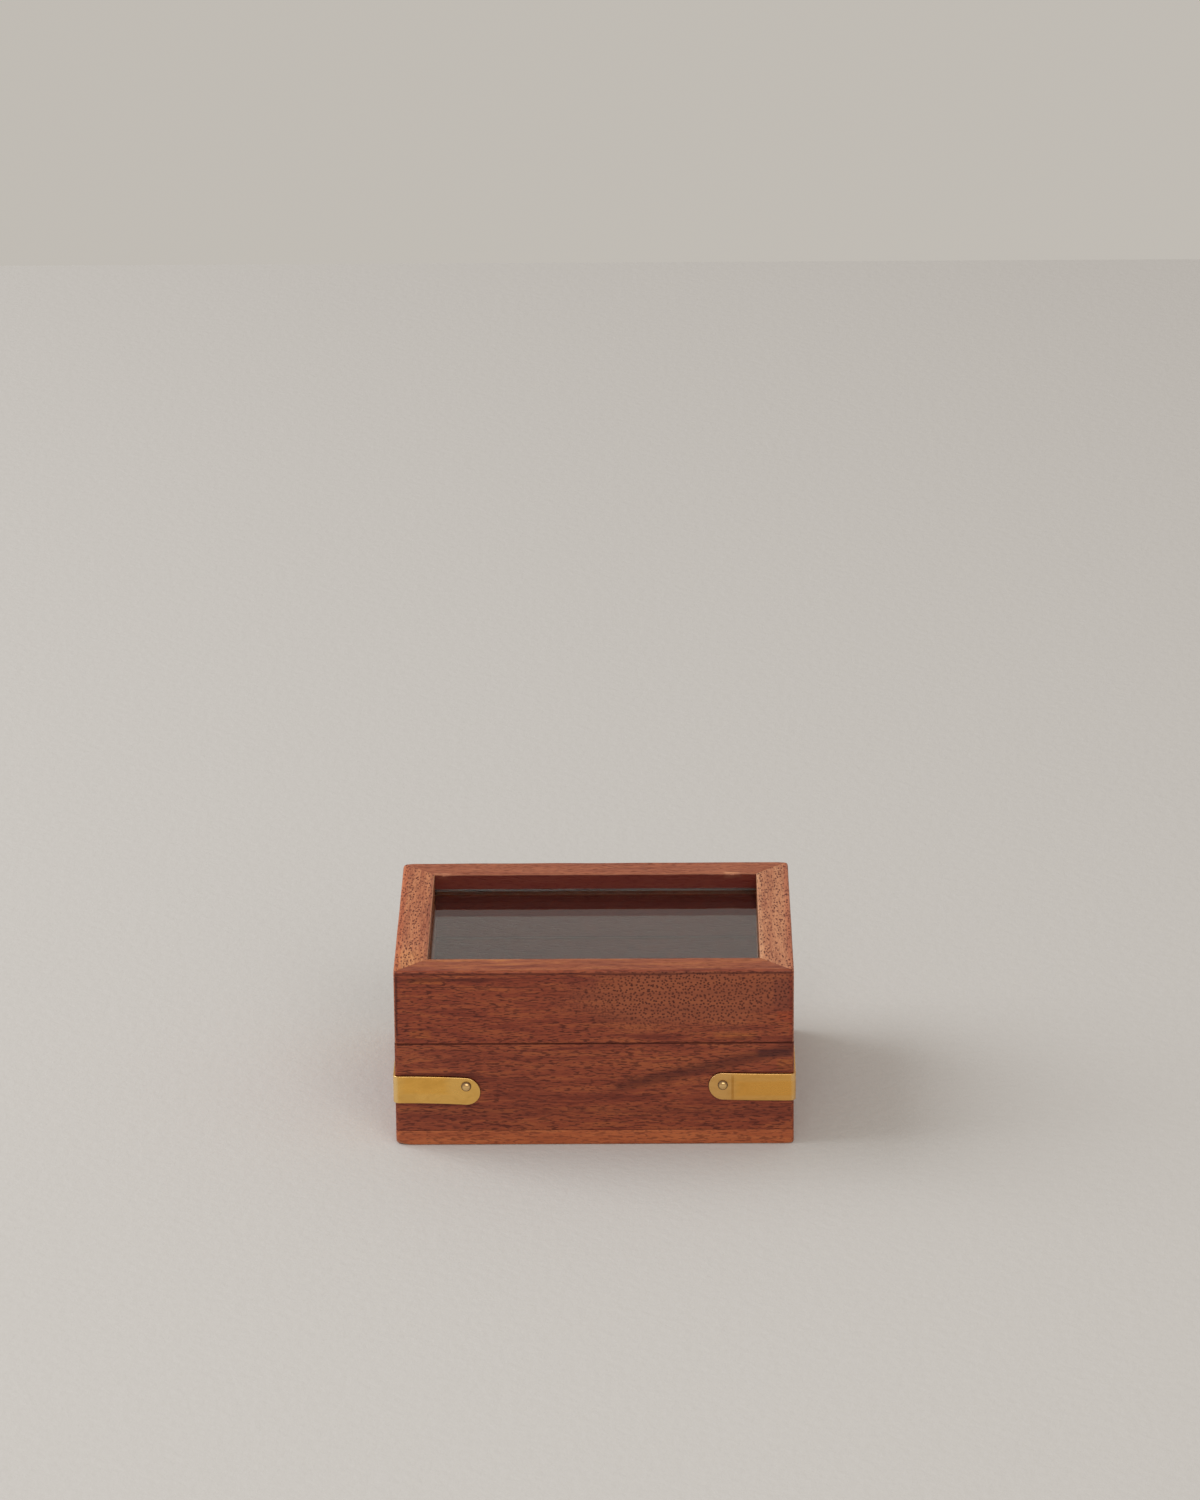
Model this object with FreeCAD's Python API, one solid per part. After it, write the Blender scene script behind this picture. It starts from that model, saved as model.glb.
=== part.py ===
import FreeCAD, Part
import math
import os

from FreeCAD import Vector

# Small hardwood display box with a hinged, glazed lid and brass corner straps.
# Millimetres. +X is to the right, +Y to the rear and +Z up.
# The origin is on the table, under the middle of the box.

# ---- the carcass -------------------------------------------------------------
BOX_WIDTH = 102.0            # base, left to right
BOX_DEPTH = 76.0             # base, front to rear
WALL = 8.5                   # thickness of every wall and rail
BOARD_THICKNESS = 4.0        # board planted under the four walls
BASE_WALL_HEIGHT = 24.0      # walls of the base, above the board
LID_HEIGHT = 20.1            # rails of the lid
LID_INSET = 0.05             # the lid's outer faces stand in from the base's
CORNER_ROUND = 1.0           # upright corners
TOP_ARRIS = 0.5              # planed off the outer edge round the top of the lid
OPENING_ROUND = 0.4          # inner edge round the top of the lid
PARTING_ARRIS = 0.25         # planed off the edges where lid and base meet
BOARD_ARRIS = 0.6            # planed off the edge round the underside

# ---- the pane and its groove ------------------------------------------------
PANE_THICKNESS = 3.0
PANE_RECESS = 5.1            # top of the rails down to the pane
PANE_ARRIS = 0.2
GROOVE_DEPTH = 4.0           # into each rail
GROOVE_HEADROOM = 0.9        # slack above the pane, which lies on the groove's floor
PANE_EDGE_GAP = 0.4          # room for the wood to move, at each edge

# ---- corner straps ----------------------------------------------------------
STRAP_WIDTH = 7.4
STRAP_THICKNESS = 0.9
STRAP_LET_IN = 0.4           # how deep the strap lies in the wood
STRAP_LEG = 21.8             # corner of the box to the strap's round tip
STRAP_ARRIS = 0.15
STRAP_FIT = 0.15             # gap round the strap in its recess
# The straps were fitted by hand, so no two sit alike. For each corner of the box: middle of the
# base's wall up to the strap's centre line at the bend, rise of the centre line from there to the
# tip on the front or rear face, and how far above the centre line the pin there was driven.
STRAP_SETTINGS = {
    "front_left": (-0.4, -0.5, 1.45),
    "front_right": (-0.1, 0.3, 0.45),
    "rear_left": (-0.1, 0.2, -0.3),
    "rear_right": (-0.3, -0.3, 0.4),
}

# ---- domed pins that hold the straps ----------------------------------------
PIN_HEAD_RADIUS = 1.3
PIN_HEAD_HEIGHT = 0.95       # on the front and rear faces
SIDE_HEAD_HEIGHT = 0.15      # on the side faces, where the heads were hammered nearly flat
PIN_SHANK_RADIUS = 0.6
PIN_BITE = 5.0               # depth in the wood
PIN_FROM_TIP = 3.6           # strap's tip to the pin
PIN_HOLE_SLACK = 0.05        # radial, in the strap

# ---- cut brads that hold the board --------------------------------------------
BRAD_THICKNESS = 1.2         # the shank is square
BRAD_HEAD_LENGTH = 2.2       # the head overhangs the shank on two sides, along the wall
BRAD_HEAD_THICKNESS = 0.6
BRAD_BITE = 8.0              # depth in the walls
BRAD_FROM_END = 29.0         # end of a long wall to the nearer of its two brads

# ---- butt hinges --------------------------------------------------------------
HINGE_LENGTH = 24.0
HINGE_FROM_END = 12.0        # end of the box to the hinge
LEAF_THICKNESS = 1.0
LEAF_SUNK = 0.1              # each leaf lies this far below its rim
LEAF_SHOULDER = 1.6          # wood left between the mortise and the inside of the box
BARREL_RADIUS = 1.7
BARREL_STANDOFF = 0.3        # barrel to the rear face of the base
KNUCKLES = 3                 # the base leaf has the outer ones
KNUCKLE_GAP = 0.12
ROLL_SEAM = 0.1              # slit where the rolled leaf comes back on itself
HINGE_PIN_RADIUS = 0.75
HINGE_PIN_RUNNING = 0.05     # radial, in the lid leaf
HINGE_PIN_SNUG = 0.01        # radial, in the base leaf, which grips the pin
MORTISE_SIDE_GAP = 0.1       # at each end of a leaf

# ---- countersunk screws in the hinges -----------------------------------------
SCREW_HEAD_RADIUS = 1.8
SCREW_HEAD_DEPTH = 0.8
SCREW_SHANK_RADIUS = 0.95
SCREW_BITE = 6.5             # below the leaf
SCREW_FROM_END = 4.5         # end of the leaf to the screw
SCREW_SLOT_WIDTH = 0.5
SCREW_SLOT_DEPTH = 0.35
SCREW_SEAT_GAP = 0.03        # in the leaf's countersink

# ---- fits and working margins ---------------------------------------------------
PILOT_GAP = 0.01             # round a shank driven into wood
POINT_LENGTH = 1.6           # taper at the end of a pin, brad or screw
OVERCUT = 2.0                # how far a cutting tool runs past the stock
SMALL_SIDES = 16             # flats round a pin or screw, which is a millimetre or two across
DOME_STEPS = 3               # rings of flats up a pin's head

# ---- levels and places that follow -----------------------------------------------
RIM = BOARD_THICKNESS + BASE_WALL_HEIGHT
LID_TOP = RIM + LID_HEIGHT
LID_WIDTH = BOX_WIDTH - 2 * LID_INSET
LID_DEPTH = BOX_DEPTH - 2 * LID_INSET
PANE_TOP = LID_TOP - PANE_RECESS
PANE_BOTTOM = PANE_TOP - PANE_THICKNESS
STRAP_PROUD = STRAP_THICKNESS - STRAP_LET_IN
HINGE_AXIS_Y = BOX_DEPTH / 2 + BARREL_STANDOFF + BARREL_RADIUS
HINGE_X = BOX_WIDTH / 2 - HINGE_FROM_END - HINGE_LENGTH / 2
UP, RIGHT, REAR = Vector(0, 0, 1), Vector(1, 0, 0), Vector(0, 1, 0)
SIDES = ("front", "rear", "left", "right")


# ---- shapes that several pieces use ------------------------------------------------

def block(x0, x1, y0, y1, z0, z1):
    """A box between two corners."""
    return Part.makeBox(x1 - x0, y1 - y0, z1 - z0, Vector(x0, y0, z0))


def rounded_block(width, depth, radius, z0, z1):
    """A block centred on the Z axis, with its upright edges rounded."""
    solid = block(-width / 2, width / 2, -depth / 2, depth / 2, z0, z1)
    if radius <= 0:
        return solid
    upright = [e for e in solid.Edges if abs(e.BoundBox.ZLength - (z1 - z0)) < 1e-6]
    return solid.makeFillet(radius, upright)


def level_edges(solid, z, half_width, half_depth):
    """The edges at height z that run round the rectangle with these half sizes."""
    def on_rectangle(edge):
        box = edge.BoundBox
        level = box.ZLength < 1e-6 and abs(box.ZMin - z) < 1e-6
        reach_x = max(abs(box.XMin), abs(box.XMax))
        reach_y = max(abs(box.YMin), abs(box.YMax))
        on_side = abs(reach_x - half_width) < 1e-6 or abs(reach_y - half_depth) < 1e-6
        return level and on_side and reach_x < half_width + 1e-6 and reach_y < half_depth + 1e-6
    return [edge for edge in solid.Edges if on_rectangle(edge)]


def turned(profile, base, direction):
    """A small turned solid: (radius, height) points from the axis out and back, stood at base.

    It has flat sides in place of a true round, which is enough at its size.
    """
    turns = [2 * math.pi * k / SMALL_SIDES for k in range(SMALL_SIDES)]
    rings = [[Vector(r * math.cos(a), r * math.sin(a), h) for a in turns] for r, h in profile]
    faces = []
    for (r_low, _), low, (r_high, _), high in zip(profile, rings, profile[1:], rings[1:]):
        for k in range(SMALL_SIDES):
            after = (k + 1) % SMALL_SIDES
            corners = [low[k]] if r_low == 0 else [low[k], low[after]]
            corners += [high[k]] if r_high == 0 else [high[after], high[k]]
            faces.append(Part.Face(Part.makePolygon(corners + corners[:1])))
    solid = Part.makeSolid(Part.makeShell(faces)).removeSplitter()
    if solid.Volume < 0:
        solid = solid.reversed()
    solid.Placement = FreeCAD.Placement(base, FreeCAD.Rotation(UP, direction))
    return solid


def round_tool(base, direction, radius, near, far):
    """What makes a small round hole along direction, from near to far of base."""
    return turned([(0, near), (radius, near), (radius, far), (0, far)], base, direction)


def dome_profile(radius, height, rise):
    """(radius, height) points of a spherical cap, from its rim up to the axis."""
    ball = (radius ** 2 + rise ** 2) / (2 * rise)
    half_angle = math.asin(radius / ball)
    angles = [half_angle * (DOME_STEPS - k) / DOME_STEPS for k in range(DOME_STEPS)]
    rim_to_top = [(ball * math.sin(a), height + rise - ball * (1 - math.cos(a))) for a in angles]
    return rim_to_top + [(0, height + rise)]


# ---- mitred frames ---------------------------------------------------------------

def hollow_frame(width, depth, z0, z1, arris_low, arris_high, opening_round):
    """Four walls in one ring, with the outer edges at z0 and z1 and the inner one at z1 eased."""
    ring = rounded_block(width, depth, CORNER_ROUND, z0, z1)
    for z, arris in ((z0, arris_low), (z1, arris_high)):
        if arris:
            ring = ring.makeChamfer(arris, level_edges(ring, z, width / 2, depth / 2))
    inner_x, inner_y = width / 2 - WALL, depth / 2 - WALL
    ring = ring.cut(block(-inner_x, inner_x, -inner_y, inner_y, z0 - OVERCUT, z1 + OVERCUT))
    if opening_round:
        ring = ring.makeFillet(opening_round, level_edges(ring, z1, inner_x, inner_y))
    return ring


def mitre_wedge(side, width, depth, z0, z1):
    """The prism that takes one wall out of a ring, cut at 45 degrees through the corners."""
    inward = WALL + OVERCUT
    x_far, x_near = width / 2 + OVERCUT, width / 2 - inward
    y_far, y_near = depth / 2 + OVERCUT, depth / 2 - inward
    outlines = {
        "front": [(-x_far, -y_far), (x_far, -y_far), (x_near, -y_near), (-x_near, -y_near)],
        "rear": [(-x_far, y_far), (-x_near, y_near), (x_near, y_near), (x_far, y_far)],
        "left": [(-x_far, -y_far), (-x_near, -y_near), (-x_near, y_near), (-x_far, y_far)],
        "right": [(x_far, -y_far), (x_far, y_far), (x_near, y_near), (x_near, -y_near)],
    }
    corners = [Vector(x, y, z0) for x, y in outlines[side]]
    face = Part.Face(Part.makePolygon(corners + corners[:1]))
    return face.extrude(Vector(0, 0, z1 - z0))


def split_at_mitres(ring, width, depth, z0, z1):
    """The four mitred walls of a ring, by side."""
    low, high = z0 - OVERCUT, z1 + OVERCUT
    return {side: ring.common(mitre_wedge(side, width, depth, low, high)) for side in SIDES}


# ---- straps and their pins -----------------------------------------------------

def sides_of(corner):
    """The signs of x and y at a corner."""
    return (1 if "right" in corner else -1), (1 if "rear" in corner else -1)


def strap_setting(corner):
    """Height of the strap at the bend, its rise to the tip, and its pin's drift."""
    above_middle, rise, drift = STRAP_SETTINGS[corner]
    return BOARD_THICKNESS + BASE_WALL_HEIGHT / 2 + above_middle, rise, drift


def bowed_edge(points):
    """An edge through three points: an arc, or a line where they are in line."""
    first, middle, last = points
    if (middle - first).cross(last - first).Length < 1e-9:
        return Part.LineSegment(first, last).toShape()
    return Part.Arc(first, middle, last).toShape()


def leg_outline(start, along, way_in, rise, grow):
    """The prism that gives one leg of a strap its outline, with its round tip.

    The leg runs along from start, where its end is square. It is bowed in its own plane, as a
    sheared strip is, so that its centre line climbs by rise. grow widens it for the recess.
    """
    half = STRAP_WIDTH / 2 + grow
    length = STRAP_LEG - STRAP_WIDTH / 2 - CORNER_ROUND
    foot = start - way_in * OVERCUT
    turn = 2 * math.atan2(rise, length)

    def centre(share):
        chord_angle = turn * share / 2
        chord = length * share if rise == 0 else length * math.sin(chord_angle) * 2 / math.sin(turn)
        return foot + along * (chord * math.cos(chord_angle)) + UP * (chord * math.sin(chord_angle))

    def beside(share, offset):
        angle = turn * share
        return centre(share) + (UP * math.cos(angle) - along * math.sin(angle)) * offset

    tip = centre(1) + (along * math.cos(turn) + UP * math.sin(turn)) * half
    edges = [
        bowed_edge([beside(0, -half), beside(0.5, -half), beside(1, -half)]),
        bowed_edge([beside(1, -half), tip, beside(1, half)]),
        bowed_edge([beside(1, half), beside(0.5, half), beside(0, half)]),
        Part.LineSegment(beside(0, half), beside(0, -half)).toShape(),
    ]
    return Part.Face(Part.Wire(edges)).extrude(way_in * (OVERCUT + STRAP_THICKNESS))


def strap_outline(corner, grow):
    """Both legs of a strap, and the square round the bend between them."""
    side_x, side_y = sides_of(corner)
    height, rise, _ = strap_setting(corner)
    face_x, face_y = side_x * BOX_WIDTH / 2, side_y * BOX_DEPTH / 2
    bend_x, bend_y = face_x - side_x * CORNER_ROUND, face_y - side_y * CORNER_ROUND
    along_x, along_y = RIGHT * -side_x, REAR * -side_y
    front_leg = leg_outline(Vector(bend_x, face_y, height), along_x, along_y, rise, grow)
    side_leg = leg_outline(Vector(face_x, bend_y, height), along_y, along_x, 0, grow)
    half = STRAP_WIDTH / 2 + grow
    xs = sorted((bend_x, face_x + side_x * OVERCUT))
    ys = sorted((bend_y, face_y + side_y * OVERCUT))
    return block(*xs, *ys, height - half, height + half).fuse([front_leg, side_leg])


def band(depth_in, depth_out, height):
    """A ring round the base at a strap's height, from depth_in inside its faces to depth_out outside."""
    z0, z1 = height - STRAP_WIDTH, height + STRAP_WIDTH
    outer = rounded_block(BOX_WIDTH + 2 * depth_out, BOX_DEPTH + 2 * depth_out,
                          CORNER_ROUND + depth_out, z0, z1)
    inner = rounded_block(BOX_WIDTH - 2 * depth_in, BOX_DEPTH - 2 * depth_in,
                          CORNER_ROUND - depth_in, z0 - OVERCUT, z1 + OVERCUT)
    return outer.cut(inner)


def strap_pin_places(corner):
    """The two pins of a strap, as (point on the wood's face, way out, height of the head)."""
    side_x, side_y = sides_of(corner)
    height, rise, drift = strap_setting(corner)
    inset = STRAP_LEG - PIN_FROM_TIP
    face_x, face_y = BOX_WIDTH / 2, BOX_DEPTH / 2
    return [
        (Vector(side_x * (face_x - inset), side_y * face_y, height + rise + drift),
         REAR * side_y, PIN_HEAD_HEIGHT),
        (Vector(side_x * face_x, side_y * (face_y - inset), height), RIGHT * side_x, SIDE_HEAD_HEIGHT),
    ]


def outer_edges(strap):
    """The edges round a strap's outer face, without the seams across its bend."""
    out_x, out_y = BOX_WIDTH / 2 + STRAP_PROUD, BOX_DEPTH / 2 + STRAP_PROUD
    centre_x, centre_y = BOX_WIDTH / 2 - CORNER_ROUND, BOX_DEPTH / 2 - CORNER_ROUND

    def outside(point):
        dx, dy = abs(point.x) - centre_x, abs(point.y) - centre_y
        on_face = abs(abs(point.x) - out_x) < 1e-5 or abs(abs(point.y) - out_y) < 1e-5
        on_bend = dx > 0 and dy > 0 and abs(math.hypot(dx, dy) - CORNER_ROUND - STRAP_PROUD) < 1e-5
        return on_face or on_bend

    def wanted(edge):
        first, last = edge.ParameterRange
        samples = [edge.valueAt(first + (last - first) * k / 4) for k in range(5)]
        across_bend = edge.BoundBox.ZLength > STRAP_WIDTH / 2 and edge.Curve.TypeId == "Part::GeomLine"
        return not across_bend and all(outside(point) for point in samples)

    return [edge for edge in strap.Edges if wanted(edge)]


def corner_strap(corner):
    """A brass strip bent round one corner of the base, with round tips and two pin holes."""
    height = strap_setting(corner)[0]
    strap = band(STRAP_LET_IN, STRAP_PROUD, height).common(strap_outline(corner, 0)).removeSplitter()
    strap = strap.makeChamfer(STRAP_ARRIS, outer_edges(strap))
    for point, way_out, _ in strap_pin_places(corner):
        radius = PIN_SHANK_RADIUS + PIN_HOLE_SLACK
        strap = strap.cut(round_tool(point, way_out, radius, -OVERCUT, OVERCUT))
    return strap


def strap_recess(corner):
    """What the strap's recess and its pins' pilot holes take out of the walls."""
    height = strap_setting(corner)[0]
    tool = band(STRAP_LET_IN, OVERCUT, height).common(strap_outline(corner, STRAP_FIT))
    for point, way_out, _ in strap_pin_places(corner):
        pilot = round_tool(point, way_out, PIN_SHANK_RADIUS + PILOT_GAP, -PIN_BITE - PILOT_GAP, 0)
        tool = tool.fuse(pilot)
    return tool


def domed_pin(point, way_out, head_height):
    """A round-headed brass pin driven through a strap."""
    shank = [(0, -PIN_BITE), (PIN_SHANK_RADIUS, POINT_LENGTH - PIN_BITE),
             (PIN_SHANK_RADIUS, STRAP_PROUD)]
    return turned(shank + dome_profile(PIN_HEAD_RADIUS, STRAP_PROUD, head_height), point, way_out)


# ---- the board's brads ---------------------------------------------------------

def brad_places():
    """Two brads under each long wall and one under each short wall, each with its wall's direction."""
    mid_x, mid_y = BOX_WIDTH / 2 - WALL / 2, BOX_DEPTH / 2 - WALL / 2
    along = BOX_WIDTH / 2 - BRAD_FROM_END
    long_walls = [(Vector(x, y, 0), RIGHT) for y in (-mid_y, mid_y) for x in (-along, along)]
    return long_walls + [(Vector(x, 0, 0), REAR) for x in (-mid_x, mid_x)]


def brad(point, along, grow):
    """A cut brad, head down and flush with the underside, or with grow the hole that it fills."""
    half, head_half = BRAD_THICKNESS / 2 + grow, BRAD_HEAD_LENGTH / 2 + grow
    top = BOARD_THICKNESS + BRAD_BITE + grow
    shoulder = BRAD_HEAD_THICKNESS + grow
    outline = [(-head_half, 0), (head_half, 0), (head_half, shoulder), (half, shoulder),
               (half, top - POINT_LENGTH), (half / 3, top), (-half / 3, top),
               (-half, top - POINT_LENGTH), (-half, shoulder), (-head_half, shoulder)]
    across = UP.cross(along)
    corners = [point + along * x + UP * z - across * half for x, z in outline]
    return Part.Face(Part.makePolygon(corners + corners[:1])).extrude(across * (2 * half))


# ---- hinges ----------------------------------------------------------------------
# A leaf is made for the base, with its plate just under the parting plane and its barrel on the
# hinge axis. The lid's leaf is the same strip with the other knuckles, turned over.

def knuckle_spans(first):
    """The X ranges of every other knuckle: first is 0 for the base leaf and 1 for the lid leaf."""
    pitch = HINGE_LENGTH / KNUCKLES
    starts = [-HINGE_LENGTH / 2 + k * pitch for k in range(first, KNUCKLES, 2)]
    return [(x + KNUCKLE_GAP / 2, x + pitch - KNUCKLE_GAP / 2) for x in starts]


def leaf_reach(rear_face):
    """Hinge axis to the leaf's front edge, for wood whose rear face is rear_face in front of it."""
    return rear_face + WALL - LEAF_SHOULDER


def screw_places(rear_face):
    """The screws of a leaf, on its upper face, about the hinge axis at the origin."""
    y = -(rear_face + leaf_reach(rear_face)) / 2
    x = HINGE_LENGTH / 2 - SCREW_FROM_END
    return [Vector(-x, y, -LEAF_SUNK), Vector(x, y, -LEAF_SUNK)]


def screw_profile(grow):
    """Countersunk screw from its point up to its head's face at height 0, or with grow its hole."""
    end = -(LEAF_THICKNESS + SCREW_BITE + grow)
    shank = SCREW_SHANK_RADIUS + grow
    return [(0, end), (shank, end + POINT_LENGTH), (shank, -SCREW_HEAD_DEPTH),
            (SCREW_HEAD_RADIUS + grow, 0)]


def screw(point):
    """A countersunk wood screw with a plain slot."""
    solid = turned(screw_profile(0) + [(0, 0)], point, UP)
    half = SCREW_HEAD_RADIUS + OVERCUT
    slot = block(-half, half, -SCREW_SLOT_WIDTH / 2, SCREW_SLOT_WIDTH / 2, -SCREW_SLOT_DEPTH, OVERCUT)
    slot.translate(point)
    return solid.cut(slot)


def screw_hole(point, grow):
    """The screw's own form, larger by grow and open above its head."""
    head = SCREW_HEAD_RADIUS + grow
    return turned(screw_profile(grow) + [(head, OVERCUT), (0, OVERCUT)], point, UP)


def hinge_leaf(first, rear_face, bore):
    """Plate, fingers and rolled knuckles of a leaf, about the hinge axis at the origin."""
    plate_top, plate_low = -LEAF_SUNK, -LEAF_SUNK - LEAF_THICKNESS
    plate_rear = -(BARREL_RADIUS + BARREL_STANDOFF)
    half = HINGE_LENGTH / 2
    leaf = block(-half, half, -leaf_reach(rear_face), plate_rear, plate_low, plate_top)
    for x0, x1 in knuckle_spans(first):
        finger = block(x0, x1, plate_rear - LEAF_THICKNESS, 0, plate_low, plate_top)
        roll = Part.makeCylinder(BARREL_RADIUS, x1 - x0, Vector(x0, 0, 0), RIGHT)
        leaf = leaf.fuse([finger, roll])
    leaf = leaf.removeSplitter()
    for x0, x1 in knuckle_spans(first):
        seam_rear = -(BARREL_RADIUS + BARREL_STANDOFF / 2)
        leaf = leaf.cut(block(x0 - KNUCKLE_GAP / 4, x1 + KNUCKLE_GAP / 4, seam_rear, 0,
                              plate_top, plate_top + ROLL_SEAM))
    leaf = leaf.cut(Part.makeCylinder(bore, HINGE_LENGTH, Vector(-half, 0, 0), RIGHT))
    for point in screw_places(rear_face):
        leaf = leaf.cut(screw_hole(point, SCREW_SEAT_GAP))
    return leaf


def mortise(rear_face):
    """What a leaf takes out of its rim: its bed, open to the rear, and its screws' pilot holes."""
    half = HINGE_LENGTH / 2 + MORTISE_SIDE_GAP
    front = -leaf_reach(rear_face) - MORTISE_SIDE_GAP
    bed = block(-half, half, front, OVERCUT, -LEAF_SUNK - LEAF_THICKNESS, OVERCUT)
    return bed.fuse([screw_hole(point, PILOT_GAP) for point in screw_places(rear_face)])


def for_base(shape, x):
    """Puts something made about the hinge axis on the base's rim, at x."""
    placed = shape.copy()
    placed.translate(Vector(x, HINGE_AXIS_Y, RIM))
    return placed


def for_lid(shape, x):
    """The same on the underside of the lid: turned over by a mirror in the parting plane."""
    flipped = shape.mirror(Vector(0, 0, 0), UP)
    flipped.translate(Vector(x, HINGE_AXIS_Y, RIM))
    return flipped


# ---- the pieces --------------------------------------------------------------------

def base_pieces():
    """Four mitred walls on a planted board, with brads."""
    ring = hollow_frame(BOX_WIDTH, BOX_DEPTH, BOARD_THICKNESS, RIM, 0, PARTING_ARRIS, 0)
    board = rounded_block(BOX_WIDTH, BOX_DEPTH, CORNER_ROUND, 0, BOARD_THICKNESS)
    board = board.makeChamfer(BOARD_ARRIS, level_edges(board, 0, BOX_WIDTH / 2, BOX_DEPTH / 2))
    for corner in STRAP_SETTINGS:
        ring = ring.cut(strap_recess(corner))
    brad_holes = [brad(point, along, PILOT_GAP) for point, along in brad_places()]
    ring = ring.cut(brad_holes)
    board = board.cut(brad_holes)
    rear_face = HINGE_AXIS_Y - BOX_DEPTH / 2
    for x in (-HINGE_X, HINGE_X):
        ring = ring.cut(for_base(mortise(rear_face), x))
    walls = split_at_mitres(ring, BOX_WIDTH, BOX_DEPTH, BOARD_THICKNESS, RIM)
    pieces = {f"base_{side}_wall": wall for side, wall in walls.items()}
    pieces["base_board"] = board
    brads = [brad(point, along, 0) for point, along in brad_places()]
    pieces["base_board_brads"] = Part.makeCompound(brads)
    return pieces


def lid_pieces():
    """Four mitred rails, grooved round the clear pane."""
    ring = hollow_frame(LID_WIDTH, LID_DEPTH, RIM, LID_TOP, PARTING_ARRIS, TOP_ARRIS, OPENING_ROUND)
    groove_x = LID_WIDTH / 2 - WALL + GROOVE_DEPTH
    groove_y = LID_DEPTH / 2 - WALL + GROOVE_DEPTH
    ring = ring.cut(block(-groove_x, groove_x, -groove_y, groove_y,
                          PANE_BOTTOM, PANE_TOP + GROOVE_HEADROOM))
    rear_face = HINGE_AXIS_Y - LID_DEPTH / 2
    for x in (-HINGE_X, HINGE_X):
        ring = ring.cut(for_lid(mortise(rear_face), x))
    rails = split_at_mitres(ring, LID_WIDTH, LID_DEPTH, RIM, LID_TOP)
    pieces = {f"lid_{side}_rail": rail for side, rail in rails.items()}
    pane_x, pane_y = groove_x - PANE_EDGE_GAP, groove_y - PANE_EDGE_GAP
    pane = block(-pane_x, pane_x, -pane_y, pane_y, PANE_BOTTOM, PANE_TOP)
    pieces["clear_pane"] = pane.makeChamfer(PANE_ARRIS, pane.Edges)
    return pieces


def strap_pieces():
    """A strap at each corner of the base, with its two pins."""
    pieces = {}
    for corner in STRAP_SETTINGS:
        pieces[f"{corner}_strap"] = corner_strap(corner)
        pins = [domed_pin(*place) for place in strap_pin_places(corner)]
        pieces[f"{corner}_strap_pins"] = Part.makeCompound(pins)
    return pieces


def hinge_pieces():
    """Two butt hinges, each of two leaves, a pin and four screws."""
    base_face = HINGE_AXIS_Y - BOX_DEPTH / 2
    lid_face = HINGE_AXIS_Y - LID_DEPTH / 2
    base_leaf = hinge_leaf(0, base_face, HINGE_PIN_RADIUS + HINGE_PIN_SNUG)
    lid_leaf = hinge_leaf(1, lid_face, HINGE_PIN_RADIUS + HINGE_PIN_RUNNING)
    base_screws = Part.makeCompound([screw(point) for point in screw_places(base_face)])
    lid_screws = Part.makeCompound([screw(point) for point in screw_places(lid_face)])
    pin = Part.makeCylinder(HINGE_PIN_RADIUS, HINGE_LENGTH, Vector(-HINGE_LENGTH / 2, 0, 0), RIGHT)
    pieces = {}
    for name, x in (("left", -HINGE_X), ("right", HINGE_X)):
        pieces[f"{name}_hinge_base_leaf"] = for_base(base_leaf, x)
        pieces[f"{name}_hinge_base_screws"] = for_base(base_screws, x)
        pieces[f"{name}_hinge_pin"] = for_base(pin, x)
        pieces[f"{name}_hinge_lid_leaf"] = for_lid(lid_leaf, x)
        pieces[f"{name}_hinge_lid_screws"] = for_lid(lid_screws, x)
    return pieces


def main():
    os.makedirs("parts", exist_ok=True)
    pieces = {**base_pieces(), **strap_pieces(), **hinge_pieces(), **lid_pieces()}
    for name, shape in pieces.items():
        shape.exportStep(os.path.join("parts", name + ".step"))
        print(name, len(shape.Solids), round(shape.Volume, 1), shape.isValid())


main()
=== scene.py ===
"""Finish and surroundings of a small hardwood display box with a glazed, hinged lid."""
import math

import bmesh
import bpy
import numpy as np
from mathutils import Matrix, Vector


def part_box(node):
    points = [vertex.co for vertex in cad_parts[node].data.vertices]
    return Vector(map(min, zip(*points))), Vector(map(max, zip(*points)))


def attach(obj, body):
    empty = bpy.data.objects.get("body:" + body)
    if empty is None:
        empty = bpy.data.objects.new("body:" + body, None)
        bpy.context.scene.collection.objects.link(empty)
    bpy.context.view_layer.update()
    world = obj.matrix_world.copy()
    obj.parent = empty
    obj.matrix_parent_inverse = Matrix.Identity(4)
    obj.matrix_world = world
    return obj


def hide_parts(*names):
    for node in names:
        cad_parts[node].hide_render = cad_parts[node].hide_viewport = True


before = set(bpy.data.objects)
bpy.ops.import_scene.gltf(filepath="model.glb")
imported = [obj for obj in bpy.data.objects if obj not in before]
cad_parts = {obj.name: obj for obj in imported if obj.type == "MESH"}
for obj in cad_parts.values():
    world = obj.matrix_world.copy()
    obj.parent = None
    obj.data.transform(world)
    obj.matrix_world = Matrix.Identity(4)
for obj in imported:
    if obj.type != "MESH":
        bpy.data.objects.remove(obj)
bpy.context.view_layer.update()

# Lengths below are in millimetres. A mesh is scaled to metres when it is made.
MM = 0.001
CORNERS = ("front_left", "front_right", "rear_left", "rear_right")


def span(node):
    """Lowest and highest corner of a CAD node."""
    low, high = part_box(node)
    return np.array(low) / MM, np.array(high) / MM


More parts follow.
